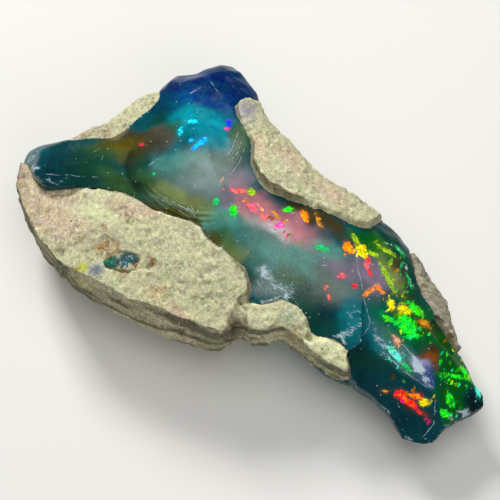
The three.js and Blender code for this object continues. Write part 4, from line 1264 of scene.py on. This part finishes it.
def make_rock(node, material, sizes, opal_tree, base):
    """One patch of host rock: rough, layered on its side, grown across the parting."""
    slot, painted_side_shade = ROCK_NODES[node]
    skin = Skin(node, sizes.rock_skin / MM)
    skin.fair(*ROCK_FAIRING)
    out = skin.normals()
    p = skin.at
    steep = 1 - ramp(*ROCK_LEVEL, np.abs(out[:, 2]))
    layers = waves(p * LAYER_STRETCH, ROCK_LAYERS)
    pits = PIT_DEPTH * ramp(*PIT_EDGE, waves(p, ROCK_PITS))
    relief = waves(p, ROCK_ROUGH) + LAYER_DEPTH * steep * layers - pits
    lift = sizes.rock_relief / MM * relief
    for x, y, radius, deep in ROCK_HOLLOWS:
        away = np.hypot(p[:, 0] - x, p[:, 1] - y) / radius
        lift -= deep * (1 - ramp(*HOLLOW_WALL, away))
    gap = np.empty(len(p))
    toward = np.empty_like(p)
    for i, corner in enumerate(p):
        near, _, _, away = opal_tree.find_nearest(Vector(corner))
        gap[i] = away
        toward[i] = np.array(near) - corner
    parting = sizes.parting / MM
    closeness = 1 - ramp(parting * GROWS_WITHIN[0], parting * GROWS_WITHIN[1], gap)
    facing = ramp(*FACES_OPAL, (toward * out).sum(axis=1) / np.maximum(gap, LEAST_GAP))
    grown = closeness * facing
    from_speck = np.hypot(p[:, 0] - SPECK[0], p[:, 1] - SPECK[1])
    nibble = 1 + SPECK_NIBBLE * (1 - ramp(*SPECK_NEAR, from_speck))
    bite = gap + OVERLAP + nibble * waves(p, ROCK_NIBBLE)
    move = out * (lift * (1 - grown))[:, None]
    move += toward * (bite / np.maximum(gap, LEAST_GAP) * grown)[:, None]
    skin.at = p + move
    # Painted highlight on the knobs and painted shade in the hollows, from how far each stands
    # out.
    skin.values["worn"] = skin.spread(skin.bulge())
    tint = blend_patches(skin.at, ROCK_PATCHES, ROCK_TINTS, base, ROCK_HOLD, 1.0)
    # Steep sides drawn to the drab tint: a greyer tone, and painted shade.
    drab = np.array(linear(ROCK_TINTS["drab"])[:3])
    skin.values["tint"] = tint + (SIDE_DRAB_SHADE * painted_side_shade * steep)[:, None] * (drab - tint)
    # The stains, and the painted shadow in the gap, where no mottling shows.
    stain = np.zeros(len(p))
    for patch in ROCK_PATCHES:
        if patch.hue in STAINS_AND_PAINTED_SHADOW:
            stain = np.maximum(stain, np.exp(-reach(p, patch) ** 2))
    skin.values["stain"] = stain
    # Painted shade down the steep sides, with their proud layers darker and their sunk ones paler.
    streaks = PROUD_SHADE * ramp(*LAYER_EDGE, layers) - SUNK_SHADE * ramp(*LAYER_EDGE, -layers)
    skin.values["shade"] = 1 - steep * painted_side_shade * (SIDE_SHADE + streaks)
    bare = np.clip(1 - grown * GRIT_STOPS, 0, 1)
    skin.values["gritty"] = bare * ramp(*GRIT_EDGE, waves(p, GRIT_DRIFTS))
    return skin.to_piece(node + "_patch", material, node)


def grit_tree():
    """Geometry nodes that strew angular grains over a surface, half sunk in it."""
    tree = bpy.data.node_groups.new("Grit", "GeometryNodeTree")
    sockets = (("Geometry", "NodeSocketGeometry"), ("Grain size", "NodeSocketFloat"),
               ("Spacing", "NodeSocketFloat"), ("Seed", "NodeSocketInt"),
               ("Material", "NodeSocketMaterial"))
    for name, kind in sockets:
        tree.interface.new_socket(name, in_out="INPUT", socket_type=kind)
    tree.interface.new_socket("Geometry", in_out="OUTPUT", socket_type="NodeSocketGeometry")
    given = add(tree, "GroupInput", out=None).outputs
    gritty = add(tree, "InputNamedAttribute", {"data_type": "FLOAT"}, Name="gritty")
    spots = add(tree, "DistributePointsOnFaces", {"distribute_method": "POISSON"},
                Mesh=given["Geometry"], Distance_Min=given["Spacing"],
                Density_Max=GRAIN_DENSITY, Density_Factor=gritty, Seed=given["Seed"])
    grain = add(tree, "MeshIcoSphere", Radius=given["Grain size"], Subdivisions=1)
    spin = add(tree, "RandomValue", {"data_type": "FLOAT_VECTOR"}, i1=GRAIN_SPIN,
               Seed=given["Seed"])
    squash = add(tree, "RandomValue", {"data_type": "FLOAT_VECTOR"}, i0=GRAIN_LEAST,
                 i1=GRAIN_MOST, Seed=given["Seed"])
    strewn = add(tree, "InstanceOnPoints", Points=spots, Instance=grain, Rotation=spin,
                 Scale=squash)
    chance = add(tree, "RandomValue", {"data_type": "FLOAT"}, out=1, Seed=given["Seed"])
    shaded = add(tree, "StoreNamedAttribute", {"data_type": "FLOAT", "domain": "INSTANCE"},
                 Geometry=strewn, Name="shade", Value=chance)
    real = add(tree, "RealizeInstances", Geometry=shaded)
    done = add(tree, "SetMaterial", Geometry=real, Material=given["Material"])
    add(tree, "GroupOutput", out=None, Geometry=done)
    return tree


def strew_grit(tree, patch, material, sizes, seed):
    """The grains on one patch of host rock, as one plain mesh."""
    name = patch.name.replace("_patch", "_grit")
    source = bpy.data.objects.new(name + "_source", patch.data)
    bpy.context.scene.collection.objects.link(source)
    modifier = source.modifiers.new("Grit", "NODES")
    modifier.node_group = tree
    given = {"Grain size": sizes.grit, "Spacing": sizes.grit_spacing, "Seed": seed,
             "Material": material}
    for socket in tree.interface.items_tree:
        if socket.in_out == "INPUT" and socket.name in given:
            modifier[socket.identifier] = given[socket.name]
    shown = source.evaluated_get(bpy.context.evaluated_depsgraph_get())
    mesh = bpy.data.meshes.new_from_object(shown)
    mesh.name = name
    bpy.data.objects.remove(source)
    at = np.empty(len(mesh.vertices) * 3)
    mesh.vertices.foreach_get("co", at)
    at = np.clip(at.reshape(-1, 3), np.array(CAD_BOX[0]), np.array(CAD_BOX[1]))
    mesh.vertices.foreach_set("co", at.ravel())
    return finish_piece(name, mesh, material, None)


class BuildOpal(bpy.types.Operator):
    """Builds the opal body and the small speck of opal in the front rock"""

    bl_idname = "rough_opal.build_opal"
    bl_label = "Opal"

    def execute(self, context):
        sizes, colours = context.scene.stone_sizes, context.scene.stone_colours
        make_opal(sizes, colours)
        make_speck(colours)
        return {"FINISHED"}


class BuildRock(bpy.types.Operator):
    """Builds the four patches of host rock, grown onto the opal"""

    bl_idname = "rough_opal.build_rock"
    bl_label = "Host rock"

    def execute(self, context):
        sizes, colours = context.scene.stone_sizes, context.scene.stone_colours
        corners, faces = [], []
        for name in OPAL_NODES:
            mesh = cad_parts[name].data
            faces += [[v + len(corners) for v in face.vertices] for face in mesh.polygons]
            corners += [v.co / MM for v in mesh.vertices]
        opal_tree = BVHTree.FromPolygons(corners, faces)
        rock = volcanic_rock(colours, "Rhyolite tuff, broken")
        rind = volcanic_rock(colours, "Rhyolite tuff, flaky rind", bleach=0.35,
                             stretch=(0.3, 1.0, 0.8), turn=math.radians(38))
        kinds = {"rock": (rock, colours.rock), "rind": (rind, colours.rind)}
        for node, (slot, _) in ROCK_NODES.items():
            make_rock(node, kinds[slot][0], sizes, opal_tree, kinds[slot][1])
        return {"FINISHED"}


class StrewGrit(bpy.types.Operator):
    """Strews loose grains over the patches of host rock"""

    bl_idname = "rough_opal.strew_grit"
    bl_label = "Grit"

    def execute(self, context):
        sizes, colours = context.scene.stone_sizes, context.scene.stone_colours
        tree, material = grit_tree(), loose_grain(colours)
        for seed, (node, (slot, _)) in enumerate(ROCK_NODES.items()):
            patch = bpy.data.objects.get(node + "_patch")
            if patch is None:
                raise RuntimeError("build the host rock before its grit")
            strew_grit(tree, patch, material, sizes, seed)
        return {"FINISHED"}


class BuildStage(bpy.types.Operator):
    """Lays the floor, sets the soft lights and aims the camera down at the broad face"""

    bl_idname = "rough_opal.build_stage"
    bl_label = "Floor, lights and camera"

    def execute(self, context):
        scene = context.scene
        bpy.ops.mesh.primitive_plane_add(size=FLOOR_SIDE)
        floor = context.object
        floor.name = "floor"
        floor.data.materials.append(plain_floor(scene.stone_colours))
        world = bpy.data.worlds.new("Studio")
        world.use_nodes = True
        sky = world.node_tree.nodes["Background"]
        sky.inputs["Color"].default_value = linear(SKY_COLOUR)
        sky.inputs["Strength"].default_value = SKY_STRENGTH
        scene.world = world
        for name, place, side, power, mirrored in LAMPS:
            lamp = bpy.data.lights.new(name, "AREA")
            lamp.energy = power
            lamp.size = side
            holder = bpy.data.objects.new(name, lamp)
            holder.location = place
            holder.rotation_euler = Vector(place).to_track_quat("Z", "Y").to_euler()
            holder.visible_glossy = mirrored
            holder.visible_transmission = False
            scene.collection.objects.link(holder)
        turn, height = math.radians(CAMERA_TURN), math.radians(CAMERA_HEIGHT)
        aim = Vector(CAMERA_AIM) * MM
        back = Vector((math.sin(turn) * math.cos(height), -math.cos(turn) * math.cos(height),
                       math.sin(height)))
        lens = bpy.data.cameras.new("camera")
        lens.sensor_width = SENSOR
        lens.lens = SENSOR * CAMERA_DISTANCE / CAMERA_WIDTH
        lens.clip_start = CAMERA_NEAR
        camera = bpy.data.objects.new("camera", lens)
        camera.location = aim + back * CAMERA_DISTANCE
        camera.rotation_euler = back.to_track_quat("Z", "Y").to_euler()
        scene.collection.objects.link(camera)
        scene.camera = camera
        scene.view_settings.view_transform = "Standard"
        return {"FINISHED"}


class RoughOpalPanel(bpy.types.Panel):
    """Lists the steps of the stone"""

    bl_idname = "VIEW3D_PT_rough_opal"
    bl_label = "Rough Opal"
    bl_space_type = "VIEW_3D"
    bl_region_type = "UI"
    bl_category = "Rough Opal"

    def draw(self, context):
        for step in STEPS:
            self.layout.operator(step.bl_idname)
        for group in (context.scene.stone_sizes, context.scene.stone_colours):
            for key in group.bl_rna.properties.keys():
                if key not in {"rna_type", "name"}:
                    self.layout.prop(group, key)


STEPS = (BuildOpal, BuildRock, StrewGrit, BuildStage)
CLASSES = (StoneSizes, StoneColours, *STEPS, RoughOpalPanel)


def register():
    for each in CLASSES:
        bpy.utils.register_class(each)
    bpy.types.Scene.stone_sizes = bpy.props.PointerProperty(type=StoneSizes)
    bpy.types.Scene.stone_colours = bpy.props.PointerProperty(type=StoneColours)


def unregister():
    del bpy.types.Scene.stone_colours
    del bpy.types.Scene.stone_sizes
    for each in reversed(CLASSES):
        bpy.utils.unregister_class(each)


def main():
    register()
    bpy.ops.rough_opal.build_opal()
    bpy.ops.rough_opal.build_rock()
    bpy.ops.rough_opal.strew_grit()
    bpy.ops.rough_opal.build_stage()


if __name__ == "__main__":
    main()
